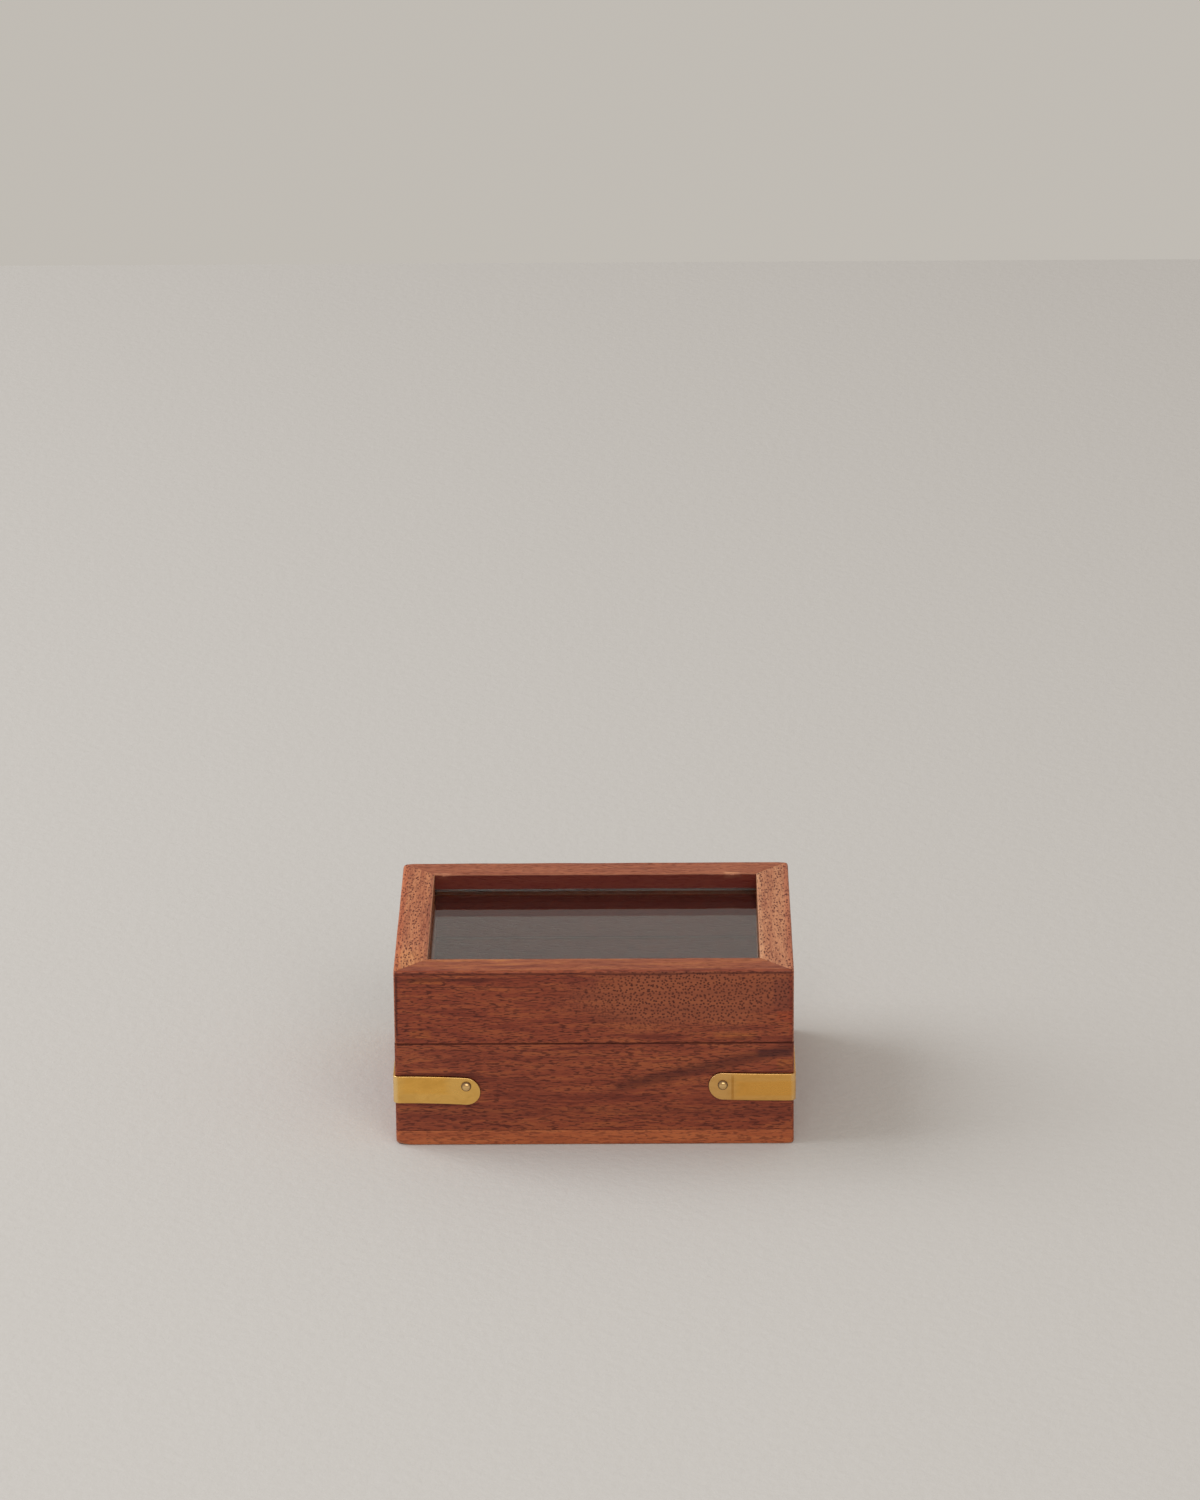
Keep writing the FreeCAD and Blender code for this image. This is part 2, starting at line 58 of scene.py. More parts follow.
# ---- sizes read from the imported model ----
wall_low, wall_high = span("base_front_wall")
BASE_X, BASE_Y = span("base_right_wall")[1][0], -wall_low[1]
WALL = wall_high[1] - wall_low[1]
BOARD_TOP, RIM = wall_low[2], wall_high[2]
rail_low, rail_high = span("lid_front_rail")
LID_X, LID_Y = span("lid_right_rail")[1][0], -rail_low[1]
LID_FOOT, LID_TOP = rail_low[2], rail_high[2]
pane_low, pane_high = span("clear_pane")
PANE_BOTTOM, PANE_TOP = pane_low[2], pane_high[2]
strap_low, strap_high = span("front_left_strap")
STRAP_PROUD = -BASE_Y - strap_low[1]
STRAP_TIP = -strap_high[0]
SIDE_TIP = -strap_high[1]
leaf_low, leaf_high = span("left_hinge_base_leaf")
HINGE_X = -(leaf_low[0] + leaf_high[0]) / 2
HINGE_LENGTH = leaf_high[0] - leaf_low[0]
LEAF_INSET = BASE_Y - leaf_low[1]
pin_low, pin_high = span("left_hinge_pin")
HINGE_PIN = (pin_high[2] - pin_low[2]) / 2
AXIS_Y, AXIS_Z = (pin_low[1] + pin_high[1]) / 2, (pin_low[2] + pin_high[2]) / 2
BARREL = leaf_high[1] - AXIS_Y

# ---- sizes of the finish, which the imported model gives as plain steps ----
CORNER_ROUND = 1.0
GROOVE_DEPTH = 4.0
GROOVE_TOP = PANE_TOP + 0.9
STRAP_THICKNESS = 0.9
STRAP_LET_IN = STRAP_THICKNESS - STRAP_PROUD
STRAP_FIT = 0.15
LEAF_THICKNESS = 1.0
LEAF_SUNK = 0.1
LEAF_FIT = 0.1
LEAF_ENDS = [HINGE_X - HINGE_LENGTH / 2 - LEAF_FIT, HINGE_X + HINGE_LENGTH / 2 + LEAF_FIT]
KNUCKLE_PLAY = 0.06
PIN_HEAD = 1.3
SCREW_SLOT = 0.5
SCREW_PROUD = 0.08
# How far the centre line of each strap climbs from the bend to the middle of its round tip.
STRAP_RISE = {"front_left": -0.5, "front_right": 0.3, "rear_left": 0.2, "rear_right": -0.3}
# How far each mitre of the lid bows, towards the front or rear rail where it is positive.
MITRE_BOW = {"front_left": 0.05, "front_right": -0.22, "rear_left": -0.12, "rear_right": -0.3}
# Chips in the inner arris of the rear rail: where each starts, is deepest and ends, and its width.
CHIPS = ((-42.3, -40.2, -37.0, 1.1), (33.0, 36.0, 39.5, 1.4))
# Where the unevenness of each planed face starts, so that no two are alike.
WALL_PHASE = {"front": 0.4, "rear": 1.9, "left": 3.1, "right": 4.4}
RAIL_PHASE = {"front": 1.4, "rear": 2.2, "left": 0.3, "right": 5.0}
RAIL_TOP_PHASE = {"front": 2.4, "rear": 0.6, "left": 1.1, "right": 3.5}


# ---- skins and pieces ----
def skin(rings, wear=0.0):
    """A closed shell over a stack of rings of points, shut by a face at an end that isn't a point.

    rings is (rings, points, 3). wear is how bare each point is, up to 1, with painted highlight on some
    brass arrises, and below 0 where grime and painted shade lie. The faces are turned over where the
    volume, which goes as the sum of corner . (edge x edge), comes out negative.
    """
    count, points = rings.shape[:2]
    index = np.arange(count * points).reshape(count, points)
    near, far = index[:-1], index[1:]
    quads = np.stack([near, np.roll(near, -1, 1), np.roll(far, -1, 1), far], -1).reshape(-1, 4)
    spots = rings.reshape(-1, 3)
    a, b, c, d = (spots[quads[:, k]] for k in range(4))
    volume = np.sum(a * np.cross(b - a, c - a)) + np.sum(a * np.cross(c - a, d - a))
    ends = []
    for row, ring in ((index[0][::-1], rings[0][::-1]), (index[-1], rings[-1])):
        area = np.cross(ring - ring[0], np.roll(ring, -1, 0) - ring[0]).sum(0)
        volume += np.dot(ring.mean(0), area)
        if np.linalg.norm(area) > 1e-6:
            ends.append(row)
    flip = -1 if volume < 0 else 1
    faces = quads[:, ::flip].tolist() + [row[::flip].tolist() for row in ends]
    return spots, faces, np.broadcast_to(wear, (count, points)).reshape(-1)


def piece(name, skins, stands_for, body, material):
    """One finished object of some skins, with seams and poles merged and only sharp edges left sharp."""
    spots = np.concatenate([s[0] for s in skins]) * MM
    wear = np.concatenate([s[2] for s in skins])
    faces, start = [], 0
    for points, polygons, _ in skins:
        faces += [[start + v for v in polygon] for polygon in polygons]
        start += len(points)
    mesh = bpy.data.meshes.new(name)
    mesh.from_pydata(spots.tolist(), [], faces)
    bare = mesh.attributes.new("wear", "FLOAT", "POINT")
    bare.data.foreach_set("value", wear.astype(np.float32))
    shaped = bmesh.new()
    shaped.from_mesh(mesh)
    bmesh.ops.remove_doubles(shaped, verts=shaped.verts, dist=1e-7)
    shaped.to_mesh(mesh)
    shaped.free()
    sides = np.empty(len(mesh.polygons), int)
    mesh.polygons.foreach_get("loop_total", sides)
    mesh.polygons.foreach_set("use_smooth", sides <= 4)
    mesh.set_sharp_from_angle(angle=math.radians(38))
    mesh.materials.append(material)
    made = bpy.data.objects.new(name, mesh)
    bpy.context.scene.collection.objects.link(made)
    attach(made, body)
    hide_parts(*stands_for)
    return made


def wander(along, phase, depth):
    """Slow hand-planed unevenness, from 0 to depth: three waves of unlike lengths added up."""
    waves = sum(np.sin(along / reach + phase * k) for k, reach in ((1.0, 9.1), (2.3, 5.3), (3.7, 3.1)))
    return depth * (0.5 + waves / 6)


# ---- mitred walls and rails ----
def carried(section, rows, stations):
    """A section of rounded corners, worked out at every station along a stick.

    section lists (inset, height, radius, wear) for each corner, as numbers or as arrays over the
    stations. A corner with a radius is a quarter turn: point = corner - r in (1 - sin a) +
    r out (1 - cos a), where in and out are the directions of the edges that meet there. rows gives
    how many lines of points each following edge has, between one a third of a millimetre from
    either end, so that wear stays at the arris.
    """
    count = len(stations)
    corners = [[np.broadcast_to(np.asarray(v, float), count) for v in corner] for corner in section]
    turn = np.linspace(0, math.pi / 2, 6)
    arcs = []
    for k, (inset, height, radius, wear) in enumerate(corners):
        spot = np.stack([inset, height], -1)
        if not radius.any():
            arcs.append((spot[:, None], wear[:, None]))
            continue
        come = spot - np.stack(corners[k - 1][:2], -1)
        go = np.stack(corners[(k + 1) % len(corners)][:2], -1) - spot
        come = come / np.linalg.norm(come, axis=-1, keepdims=True)
        go = go / np.linalg.norm(go, axis=-1, keepdims=True)
        r = radius[:, None, None]
        arc = spot[:, None] - r * come[:, None] * (1 - np.sin(turn))[:, None]
        arc = arc + r * go[:, None] * (1 - np.cos(turn))[:, None]
        arcs.append((arc, wear[:, None] * np.sin(2 * turn) ** 0.5))
    points, bare = [], []
    for k, (arc, wear) in enumerate(arcs):
        points.append(arc)
        bare.append(wear)
        if rows[k]:
            start, end = arc[:, -1], arcs[(k + 1) % len(arcs)][0][:, 0]
            length = np.linalg.norm(end - start, axis=-1)
            guard = np.minimum(0.34 / np.maximum(length, 1e-6), 0.2)[:, None]
            share = guard + (1 - 2 * guard) * np.linspace(0, 1, rows[k])
            points.append(start[:, None] + (end - start)[:, None] * share[..., None])
            bare.append(np.zeros((count, rows[k])))
    return np.concatenate(points, 1), np.concatenate(bare, 1)


def stick(side, half_x, half_y, stations, section, rows, bows=(0.0, 0.0)):
    """A wall or rail with mitred ends, its section carried along one side of the box.

    Past the inner corner the stations are drawn out evenly so that each line of points ends on the
    mitre: reach = half - inset, plus bow sin(pi inset / wall). Lines nearer the face than the
    corner's radius turn with the corner: inset + R - sqrt(R^2 - past^2), where R = radius - inset.
    """
    half = half_x if side in ("front", "rear") else half_y
    points, wear = carried(section, rows, stations)
    inset, height = points[..., 0], points[..., 1]
    along = np.abs(stations)[:, None]
    sign = np.sign(stations)[:, None]
    bow = np.where(sign < 0, bows[0], bows[1]) * np.sin(np.pi * np.clip(inset, 0, WALL) / WALL)
    turn = np.maximum(CORNER_ROUND - inset, 0)
    reach = half - np.maximum(inset, CORNER_ROUND) + turn * math.sqrt(0.5) + bow - 0.012
    straight = half - 1.25 * WALL
    drawn = straight + (along - straight) * (reach - straight) / (half - straight)
    run = np.where(along < straight, along, drawn)
    past = np.clip(run - (half - CORNER_ROUND), 0, turn * math.sqrt(0.5))
    inset = inset + turn - np.sqrt(turn**2 - past**2)
    run = run * sign
    if side == "front":
        place = (run, inset - half_y, height)
    elif side == "rear":
        place = (run, half_y - inset, height)
    elif side == "left":
        place = (inset - half_x, run, height)
    else:
        place = (half_x - inset, run, height)
    return skin(np.stack(place, -1), wear)


def stations_of(half, steps=()):
    """Stations along a stick: even, closer near the corners, and in close pairs at each step."""
    even = np.linspace(-half + 2.0, half - 2.0, int(half * 2 / 0.8))
    corner = half - np.array([0.0, 0.07, 0.2, 0.35, 0.5, 0.65, 0.8, 1.0, 1.3, 1.7])
    close = [x + shift for x in steps for shift in (-0.006, 0.006)]
    return np.unique(np.concatenate([even, corner, -corner, close]))


def at_mitre(stations, half):
    """1 at the last station of each end, where the arris of the joint is eased."""
    return (np.abs(stations) > half - 0.01).astype(float)


def bump_at(along, place, width):
    """A smooth rise from 0 to 1 and back, exp(-(distance / width)^2)."""
    return np.exp(-(((along - place) / width) ** 2))


def corner_of(side, end):
    """The box corner at the low (0) or high (1) end of a side."""
    if side in ("front", "rear"):
        return side + ("_left" if end == 0 else "_right")
    return ("front_" if end == 0 else "rear_") + side


def strap_band(side):
    """What a wall's face needs for its two straps: their levels, rises and half heights, the bend and the
    tip.

    The centre line is level at the bend and climbs as the square of the way along. The half height
    is sqrt(r^2 - x^2) past the middle of the round tip, where x is how far past it is.
    """
    lows, highs = zip(*(span(corner_of(side, end) + "_strap") for end in (0, 1)))
    rises = [STRAP_RISE[corner_of(side, end)] for end in (0, 1)]
    level = [(lows[k][2] + highs[k][2] - rises[k]) / 2 for k in (0, 1)]
    half_width = [(highs[k][2] - lows[k][2] - abs(rises[k])) / 2 for k in (0, 1)]
    long_side = side in ("front", "rear")
    bend = (BASE_X if long_side else BASE_Y) - CORNER_ROUND
    tip = STRAP_TIP if long_side else SIDE_TIP
    return level, rises if long_side else [0.0, 0.0], half_width, bend, tip


def leaf_bed(stations):
    """How deep the bed of a hinge leaf is at each station: nothing, or the leaf and what it is sunk."""
    off_middle = np.abs(np.abs(stations) - HINGE_X)
    return (LEAF_THICKNESS + LEAF_SUNK) * (off_middle < HINGE_LENGTH / 2 + LEAF_FIT)


def base_wall(side, material):
    """A wall of the base, let in for the straps and, at the rear, for the hinge leaves."""
    half = BASE_X if side in ("front", "rear") else BASE_Y
    level, rises, half_width, bend, tip = strap_band(side)
    radius = half_width[0] + STRAP_FIT
    middle = tip + half_width[0]
    round_steps = middle - radius * np.sin(np.radians([15, 30, 45, 58, 70, 80]))
    end = middle - math.sqrt(radius**2 - 0.3**2)
    steps = [end, -end] + (LEAF_ENDS + [-x for x in LEAF_ENDS] if side == "rear" else [])
    stations = np.unique(np.concatenate([stations_of(half, steps), round_steps, -round_steps]))
    away = np.abs(stations)
    right = stations > 0
    climb = np.where(right, rises[1], rises[0]) * (np.clip(bend - away, 0, None) / (bend - middle)) ** 2
    centre = np.where(right, level[1], level[0]) + np.where(away > end, climb, 0)
    slack = np.clip(away / end, 0, 1)
    centre = np.where(away > end, centre, np.mean(level) + (centre - np.mean(level)) * slack)
    tall = np.sqrt(np.clip(radius**2 - np.clip(middle - away, 0, None) ** 2, 0.09, None))
    deep = STRAP_LET_IN * (away > end)
    ease = at_mitre(stations, half) * 0.03
    face = wander(stations, WALL_PHASE[side], 0.035) + ease
    top = RIM - wander(stations, 2.0, 0.02) - ease
    section = [(face, top, 0.09, 0.1)]
    rows = [8]
    if side == "rear":
        bed = top - leaf_bed(stations)
        section = [(face, bed, 0.12, 0.5), (LEAF_INSET, bed, 0, 0), (LEAF_INSET + 0.02, top, 0, 0)]
        rows = [6, 0, 0]
    section += [
        (WALL, top, 0.3, 0.1),
        (WALL, BOARD_TOP, 0, 0),
        (face, BOARD_TOP, 0.1, 0.3),
        (face, centre - tall - 0.02, 0, 0),
        (face + deep, centre - tall, 0, 0),
        (face + deep, centre + tall, 0, 0),
        (face, centre + tall + 0.02, 0, 0),
    ]
    rows += [8, 3, 6, 0, 5, 0, 7]
    name = f"base_{side}_wall"
    return piece(name + "_finished", [stick(side, BASE_X, BASE_Y, stations, section, rows)],
                 [name], "base", material)


def lid_rail(side, material):
    """A rail of the lid, grooved for the pane, with worn arrises and, at the rear, beds and chips."""
    half = LID_X if side in ("front", "rear") else LID_Y
    stations = stations_of(half, LEAF_ENDS + [-x for x in LEAF_ENDS] if side == "rear" else [])
    if side == "rear":
        chipped = [np.arange(start, end, 0.13) for start, _, end, _ in CHIPS]
        stations = np.unique(np.concatenate([stations, *chipped]))
    away = np.abs(stations)
    ease = at_mitre(stations, half) * 0.035
    face = wander(stations, RAIL_PHASE[side], 0.04) + ease
    top = LID_TOP - wander(stations, RAIL_TOP_PHASE[side], 0.05) - ease
    ragged = 0.6 + 0.4 * np.sin(stations * 7.3) * np.sin(stations * 3.1 + 1)
    inner = 0.36 + 0.05 * np.sin(stations / 2.3)
    if side == "rear":
        chips = sum(bump_at(stations, deepest, width) for _, deepest, _, width in CHIPS)
        inner = inner + 0.4 * ragged * chips
    if side in ("left", "right"):
        inner = inner + 0.55 * bump_at(away, half - WALL + 0.6, 1.3)
    outer = 0.5 + 0.07 * np.sin(stations / 3.7 + 1) + 0.3 * bump_at(away, half, 1.2)
    if side in ("rear", "left"):
        worn_end = half if side == "left" else -half
        outer = outer + 0.25 * bump_at(stations, worn_end, 2.0)
    bed = LID_FOOT
    section = [
        (face, top, outer, 0.35),
        (WALL, top, inner, 1.0),
        (WALL, GROOVE_TOP, 0.12, 0.0),
        (WALL - GROOVE_DEPTH, GROOVE_TOP, 0, 0),
        (WALL - GROOVE_DEPTH, PANE_BOTTOM - 0.01, 0, 0),
        (WALL, PANE_BOTTOM - 0.01, 0.12, 0.0),
        (WALL, LID_FOOT, 0.25, 0.1),
    ]
    rows = [14, 4, 2, 2, 2, 6, 5]
    if side == "rear":
        bed = LID_FOOT + leaf_bed(stations)
        section += [(LEAF_INSET + 0.02, LID_FOOT, 0, 0), (LEAF_INSET, bed, 0, 0)]
        rows += [0, 5]
    section.append((face, bed + ease * 0.5, 0.3, 0.0))
    rows.append(14)
    way = 1 if side in ("front", "rear") else -1
    bows = [way * MITRE_BOW[corner_of(side, end)] for end in (0, 1)]
    name = f"lid_{side}_rail"
    return piece(name + "_finished", [stick(side, LID_X, LID_Y, stations, section, rows, bows)],
                 [name], "lid", material)


# ---- slabs, turned work and straps ----
def rounded_outline(half_x, half_y, radius, edge_steps):
    """Points round a rectangle with round corners, and the way outwards at each."""
    turn = np.linspace(0, math.pi / 2, 8)
    arcs, ways = [], []
    for k, (sx, sy) in enumerate(((1, 1), (-1, 1), (-1, -1), (1, -1))):
        way = np.stack([np.cos(turn + k * math.pi / 2), np.sin(turn + k * math.pi / 2)], -1)
        arcs.append(np.array([sx * (half_x - radius), sy * (half_y - radius)]) + radius * way)
        ways.append(way)
    share = np.linspace(0, 1, edge_steps + 2)[1:-1, None]
    points, outward = [], []
    for k in range(4):
        start, end = arcs[k][-1], arcs[(k + 1) % 4][0]
        points += [arcs[k], start + (end - start) * share]
        outward += [ways[k], np.repeat(ways[k][-1:], edge_steps, 0)]
    return np.concatenate(points), np.concatenate(outward)


def slab(half_x, half_y, radius, low, high, arris, centre=(0.0, 0.0), lower_arris=None, edge_steps=40):
    """A plate with round corners and round arrises.

    Its outline is drawn in by r (1 - sin a) while the height is low + r (1 - cos a), and the same
    from the upper face. lower_arris works out another radius for the lower one, round the outline.
    """
    flat, outward = rounded_outline(half_x, half_y, radius, edge_steps)
    lower = lower_arris(flat) if lower_arris else np.full(len(flat), arris)
    upper = np.full(len(flat), arris)
    turn = np.linspace(0, math.pi / 2, 7)
    rings, wear = [], []
    for r, face, way, angles in ((lower, low, 1, turn), (upper, high, -1, turn[::-1])):
        bare = min(1.0, r.mean() / 0.3)
        steps = [(r * (1 - math.sin(a)), face + way * r * (1 - math.cos(a)), bare * math.sin(2 * a))
                 for a in angles]
        guard = (r + 0.08, face + 0 * r, 0.0)
        for inward, level, worn in [guard] + steps if way > 0 else steps + [guard]:
            rings.append(np.column_stack([flat - outward * inward[:, None] + centre, level]))
            wear.append(np.full(len(flat), worn))
    return skin(np.array(rings), np.clip(np.array(wear), 0, 1))


def turned(profile, foot, axis, sides=40, wear=None):
    """Turned work: each (radius, height) of the profile becomes a circle about the axis.

    wear, where it is given, holds one value for each point of the profile.
    """
    axis = np.array(axis, float)
    across = np.cross(axis, [0.3, 0.5, 0.81])
    across /= np.linalg.norm(across)
    angle = np.linspace(0, 2 * math.pi, sides, endpoint=False)[:, None]
    circle = np.cos(angle) * across + np.sin(angle) * np.cross(axis, across)
    profile = np.array(profile, float)
    rings = profile[:, None, :1] * circle[None] + profile[:, None, 1:] * axis + np.array(foot, float)
    return skin(rings) if wear is None else skin(rings, np.broadcast_to(wear[:, None], rings.shape[:2]))


def strap(corner):
    """A brass strap bent round a corner of the base, with round tips.

    Along the strap, the middle of its width climbs as the square of the way from the bend. A tip is
    in polar form: a line of points at inset i from the edge is at x = (r - i) sin a along and
    y = (r - i) cos a across, so the arris runs evenly round it. The bend is a quarter turn about
    the centre of the box's round corner.
    """
    low, high = span(corner + "_strap")
    rise = STRAP_RISE[corner]
    level = (low[2] + high[2] - rise) / 2
    half = (high[2] - low[2] - abs(rise)) / 2
    sx, sy = (1 if "right" in corner else -1), (1 if "rear" in corner else -1)
    inside = CORNER_ROUND - STRAP_LET_IN
    front_leg = BASE_X - CORNER_ROUND - STRAP_TIP - half
    side_leg = BASE_Y - CORNER_ROUND - SIDE_TIP - half
    bend = np.radians(np.linspace(0, 90, 19))
    tip = np.linspace(math.pi / 2, 0, 16)[:-1]
    # each line of points: its inset from the edge, height on the strap and share of the half width
    arris = 0.15
    angle = np.linspace(0, math.pi / 2, 5)
    edge = np.stack([arris * (1 - np.cos(angle)), STRAP_THICKNESS - arris * (1 - np.sin(angle))], -1)
    inner = np.linspace(1, -1, 14)[1:-1]
    insets = np.concatenate([[0.02], edge[:, 0], np.full(len(inner), arris), edge[::-1, 0], [0.02]])
    heights = np.concatenate([[0.0], edge[:, 1], np.full(len(inner), STRAP_THICKNESS), edge[::-1, 1], [0.0]])
    shares = np.concatenate([np.ones(6), inner, -np.ones(6)])
    # partly wear and partly painted highlight: the strap's arrises are lightened
    bare = 0.6 * np.sin(2 * angle) ** 0.5
    # grime and painted shade: the rows where the strap meets the wood are darkened, a shade line round it
    grimy_and_shaded = [-1, -0.8]
    wear = np.concatenate([grimy_and_shaded, bare[1:], np.zeros(len(inner)), bare[:0:-1], grimy_and_shaded[::-1]])
    # stations: front tip, front leg, bend, side leg, side tip
    front_run = np.linspace(-front_leg, 0, 40)[:-1]
    side_run = np.linspace(0, side_leg, 24)[1:]
    past = np.concatenate([-np.sin(tip), np.zeros(len(front_run) + len(bend) + len(side_run)),
                           np.sin(tip[::-1])])
    run = np.concatenate([np.full(len(tip), -front_leg), front_run, bend * 0, side_run,
                          np.full(len(tip), side_leg)])
    turn = np.concatenate([np.zeros(len(tip) + len(front_run)), bend,
                           np.full(len(side_run) + len(tip), math.pi / 2)])
    reach = half - insets
    along = run[:, None] + past[:, None] * reach
    across = np.sqrt(1 - past[:, None] ** 2) * reach * shares
    climb = rise * (np.clip(-along, 0, None) / front_leg) ** 2
    radius = inside + heights
    x = (BASE_X - CORNER_ROUND) + radius * np.sin(turn)[:, None] + np.where(along < 0, along, 0)
    y = (BASE_Y - CORNER_ROUND) + radius * np.cos(turn)[:, None] - np.where(along > 0, along, 0)
    rings = np.stack([sx * x, sy * y, level + climb + across], -1)
    # partly polish and partly painted highlight: the crown of the bend is lightened
    crown_and_highlight = 0.9 * np.sin(2 * turn)[:, None] * (heights > STRAP_THICKNESS - 0.1)
    made = skin(rings, np.maximum(wear, crown_and_highlight))
    return piece(corner + "_strap_bent", [made], [corner + "_strap"], "base", strap_brass)


def domed_pin(foot, outward, radius, rise):
    """An escutcheon pin: a dome r cos a wide at rise sin a, on a short skirt, and a pointed shank.

    Grime and painted shade darken the foot of the dome, up to where a is about half a quarter turn.
    """
    angle = np.linspace(math.pi / 2, 0, 10)
    skirt = 0.13 * rise
    dome = np.stack([radius * np.cos(angle), skirt + (rise - skirt) * np.sin(angle)], -1)
    shank = radius * 0.46
    rest = [(radius * 0.97, 0.0), (radius * 0.55, -0.01), (shank, -0.05), (shank, -4.4), (0.0, -5.8)]
    wear = np.concatenate([np.interp(angle, (0.0, 0.55, 0.95), (-1.0, -0.85, 0.0)), -np.ones(len(rest))])
    return turned(np.concatenate([dome, rest]), foot, outward, wear=wear)


def strap_pins(corner):
    """The two pins of a strap: one through its front or rear leg, one through its side leg."""
    low, high = span(corner + "_strap_pins")
    brass_low, brass_high = span(corner + "_strap")
    side_z = (brass_low[2] + brass_high[2] - STRAP_RISE[corner]) / 2
    front_z = low[2] + high[2] - side_z
    sx, sy = (1 if "right" in corner else -1), (1 if "rear" in corner else -1)
    front_x = min(abs(low[0]), abs(high[0])) + PIN_HEAD
    side_y = min(abs(low[1]), abs(high[1])) + PIN_HEAD
    front_rise = max(abs(low[1]), abs(high[1])) - BASE_Y - STRAP_PROUD
    side_rise = max(abs(low[0]), abs(high[0])) - BASE_X - STRAP_PROUD
    pins = [
        domed_pin((sx * front_x, sy * (BASE_Y + STRAP_PROUD), front_z), (0, sy, 0), PIN_HEAD, front_rise),
        domed_pin((sx * (BASE_X + STRAP_PROUD), sy * side_y, side_z), (sx, 0, 0), PIN_HEAD, side_rise),
    ]
    return piece(corner + "_strap_pins_domed", pins, [corner + "_strap_pins"], "base", pin_brass)


# ---- hinges, brads and pane ----
def rolled_leaf(side, which):
    """A hinge leaf: a plate, and knuckles whose section rolls from the plate round the pin.

    About the axis, the section runs along the plate's inner face to the bore, round the bore to the
    seam, out to the barrel's face and back round it to the plate's outer face.
    """
    node = f"{side}_hinge_{which}_leaf"
    low, high = span(node)
    flip = -1 if which == "base" else 1
    middle = (low[0] + high[0]) / 2
    front = low[1] - AXIS_Y
    rear = -BARREL - 0.3
    near, far = LEAF_SUNK, LEAF_SUNK + LEAF_THICKNESS
    lower, upper = sorted((AXIS_Z + flip * near, AXIS_Z + flip * far))
    plate = slab(HINGE_LENGTH / 2, (rear - front) / 2, 0.25, lower, upper, 0.08,
                 centre=(middle, AXIS_Y + (front + rear) / 2), edge_steps=12)
    pitch = HINGE_LENGTH / 3
    bore = HINGE_PIN + 0.03
    skins = [plate]
    for k in (0, 2) if which == "base" else (1,):
        start = middle - HINGE_LENGTH / 2 + k * pitch + KNUCKLE_PLAY
        x = start + (pitch - 2 * KNUCKLE_PLAY) * np.array([0, 0.01, 0.025, 0.3, 0.7, 0.975, 0.99, 1])
        barrel = BARREL - np.array([0.16, 0.05, 0, 0, 0, 0, 0.05, 0.16])
        first, last = math.pi + math.asin(near / bore), 3 * math.pi
        inward = np.linspace(first, last, 40)
        leave = math.pi + math.asin((far - 0.01) / BARREL)
        outward = np.linspace(last, leave, 48)
        roll_in = np.stack([bore * np.cos(inward), bore * np.sin(inward)], -1)
        way_out = np.stack([np.cos(outward), np.sin(outward)], -1)
        toe = np.array([[rear - 0.5, -far + 0.01], [rear - 0.5, -near - 0.01]])
        rings = [np.concatenate([toe, roll_in, way_out * b]) for b in barrel]
        rings = np.array([np.column_stack([np.full(len(r), px), AXIS_Y + r[:, 0], AXIS_Z - flip * r[:, 1]])
                          for px, r in zip(x, rings)])
        skins.append(skin(rings))
    return piece(node + "_rolled", skins, [node], which, hinge_brass)


def slotted_screw(up, radius):
    """A countersunk screw with its face at the origin, in two skins.

    The face is chords beside the slot, y = v sqrt(R^2 - x^2), a little proud of the leaf. The slot is
    painted dark as shade and sunk almost to the leaf. A turned cone and shank lie under it.
    """
    x = np.concatenate([radius * np.sin(np.linspace(-math.pi / 2, -0.35, 9)),
                        np.array([-1.02, -0.98, 0.98, 1.02]) * SCREW_SLOT / 2,
                        radius * np.sin(np.linspace(0.35, math.pi / 2, 9))])
    in_slot = np.abs(x) < SCREW_SLOT / 2
    level = np.where(in_slot, 0.02, SCREW_PROUD)
    v = np.linspace(-1, 1, 13)
    chord = np.sqrt(np.clip(radius**2 - x**2, 0, None))[:, None] * v
    face = np.stack([np.broadcast_to(x[:, None], chord.shape), chord,
                     np.broadcast_to(level[:, None], chord.shape)], -1)
    back = face[:, ::-1] * np.array([1, 1, 0]) + np.array([0, 0, -0.1])
    rings = np.concatenate([face, back], 1)
    rings[..., 2] *= up
    grime_and_shade = np.zeros(rings.shape[:2])
    # painted shade in the slot
    grime_and_shade[in_slot] = -1.0
    # darker round the rim of the face
    grime_and_shade[:, [0, len(v) - 1]] = -0.7
    shank = 0.95
    cone = [(0.0, -0.3), (radius * 0.97, -0.3), (shank, -0.9), (shank, -5.9), (0.0, -7.4)]
    return [skin(rings, grime_and_shade), turned(cone, (0, 0, 0), (0, 0, up), sides=24)]


def hinge_screws(side, which):
    """The two screws of a leaf, whose slots were left lying as they came."""
    node = f"{side}_hinge_{which}_screws"
    low, high = span(node)
    up = 1 if which == "base" else -1
    face = high[2] if which == "base" else low[2]
    radius = (high[1] - low[1]) / 2
    skins = []
    for x, turn in ((low[0] + radius, 0.35), (high[0] - radius, -0.9)):
        twist = np.array([[math.cos(turn), math.sin(turn), 0],
                          [-math.sin(turn), math.cos(turn), 0],
                          [0, 0, 1]])
        foot = np.array([x, (low[1] + high[1]) / 2, face])
        skins += [(spots @ twist + foot, faces, wear) for spots, faces, wear in slotted_screw(up, radius)]
    return piece(node + "_slotted", skins, [node], which, hinge_brass)


def pane(material):
    """The clear sheet in its groove, with polished arrises."""
    half = (pane_high - pane_low) / 2
    made = slab(half[0], half[1], 0.3, PANE_BOTTOM, PANE_TOP, 0.2)
    return piece("clear_pane_polished", [made], ["clear_pane"], "lid", material)


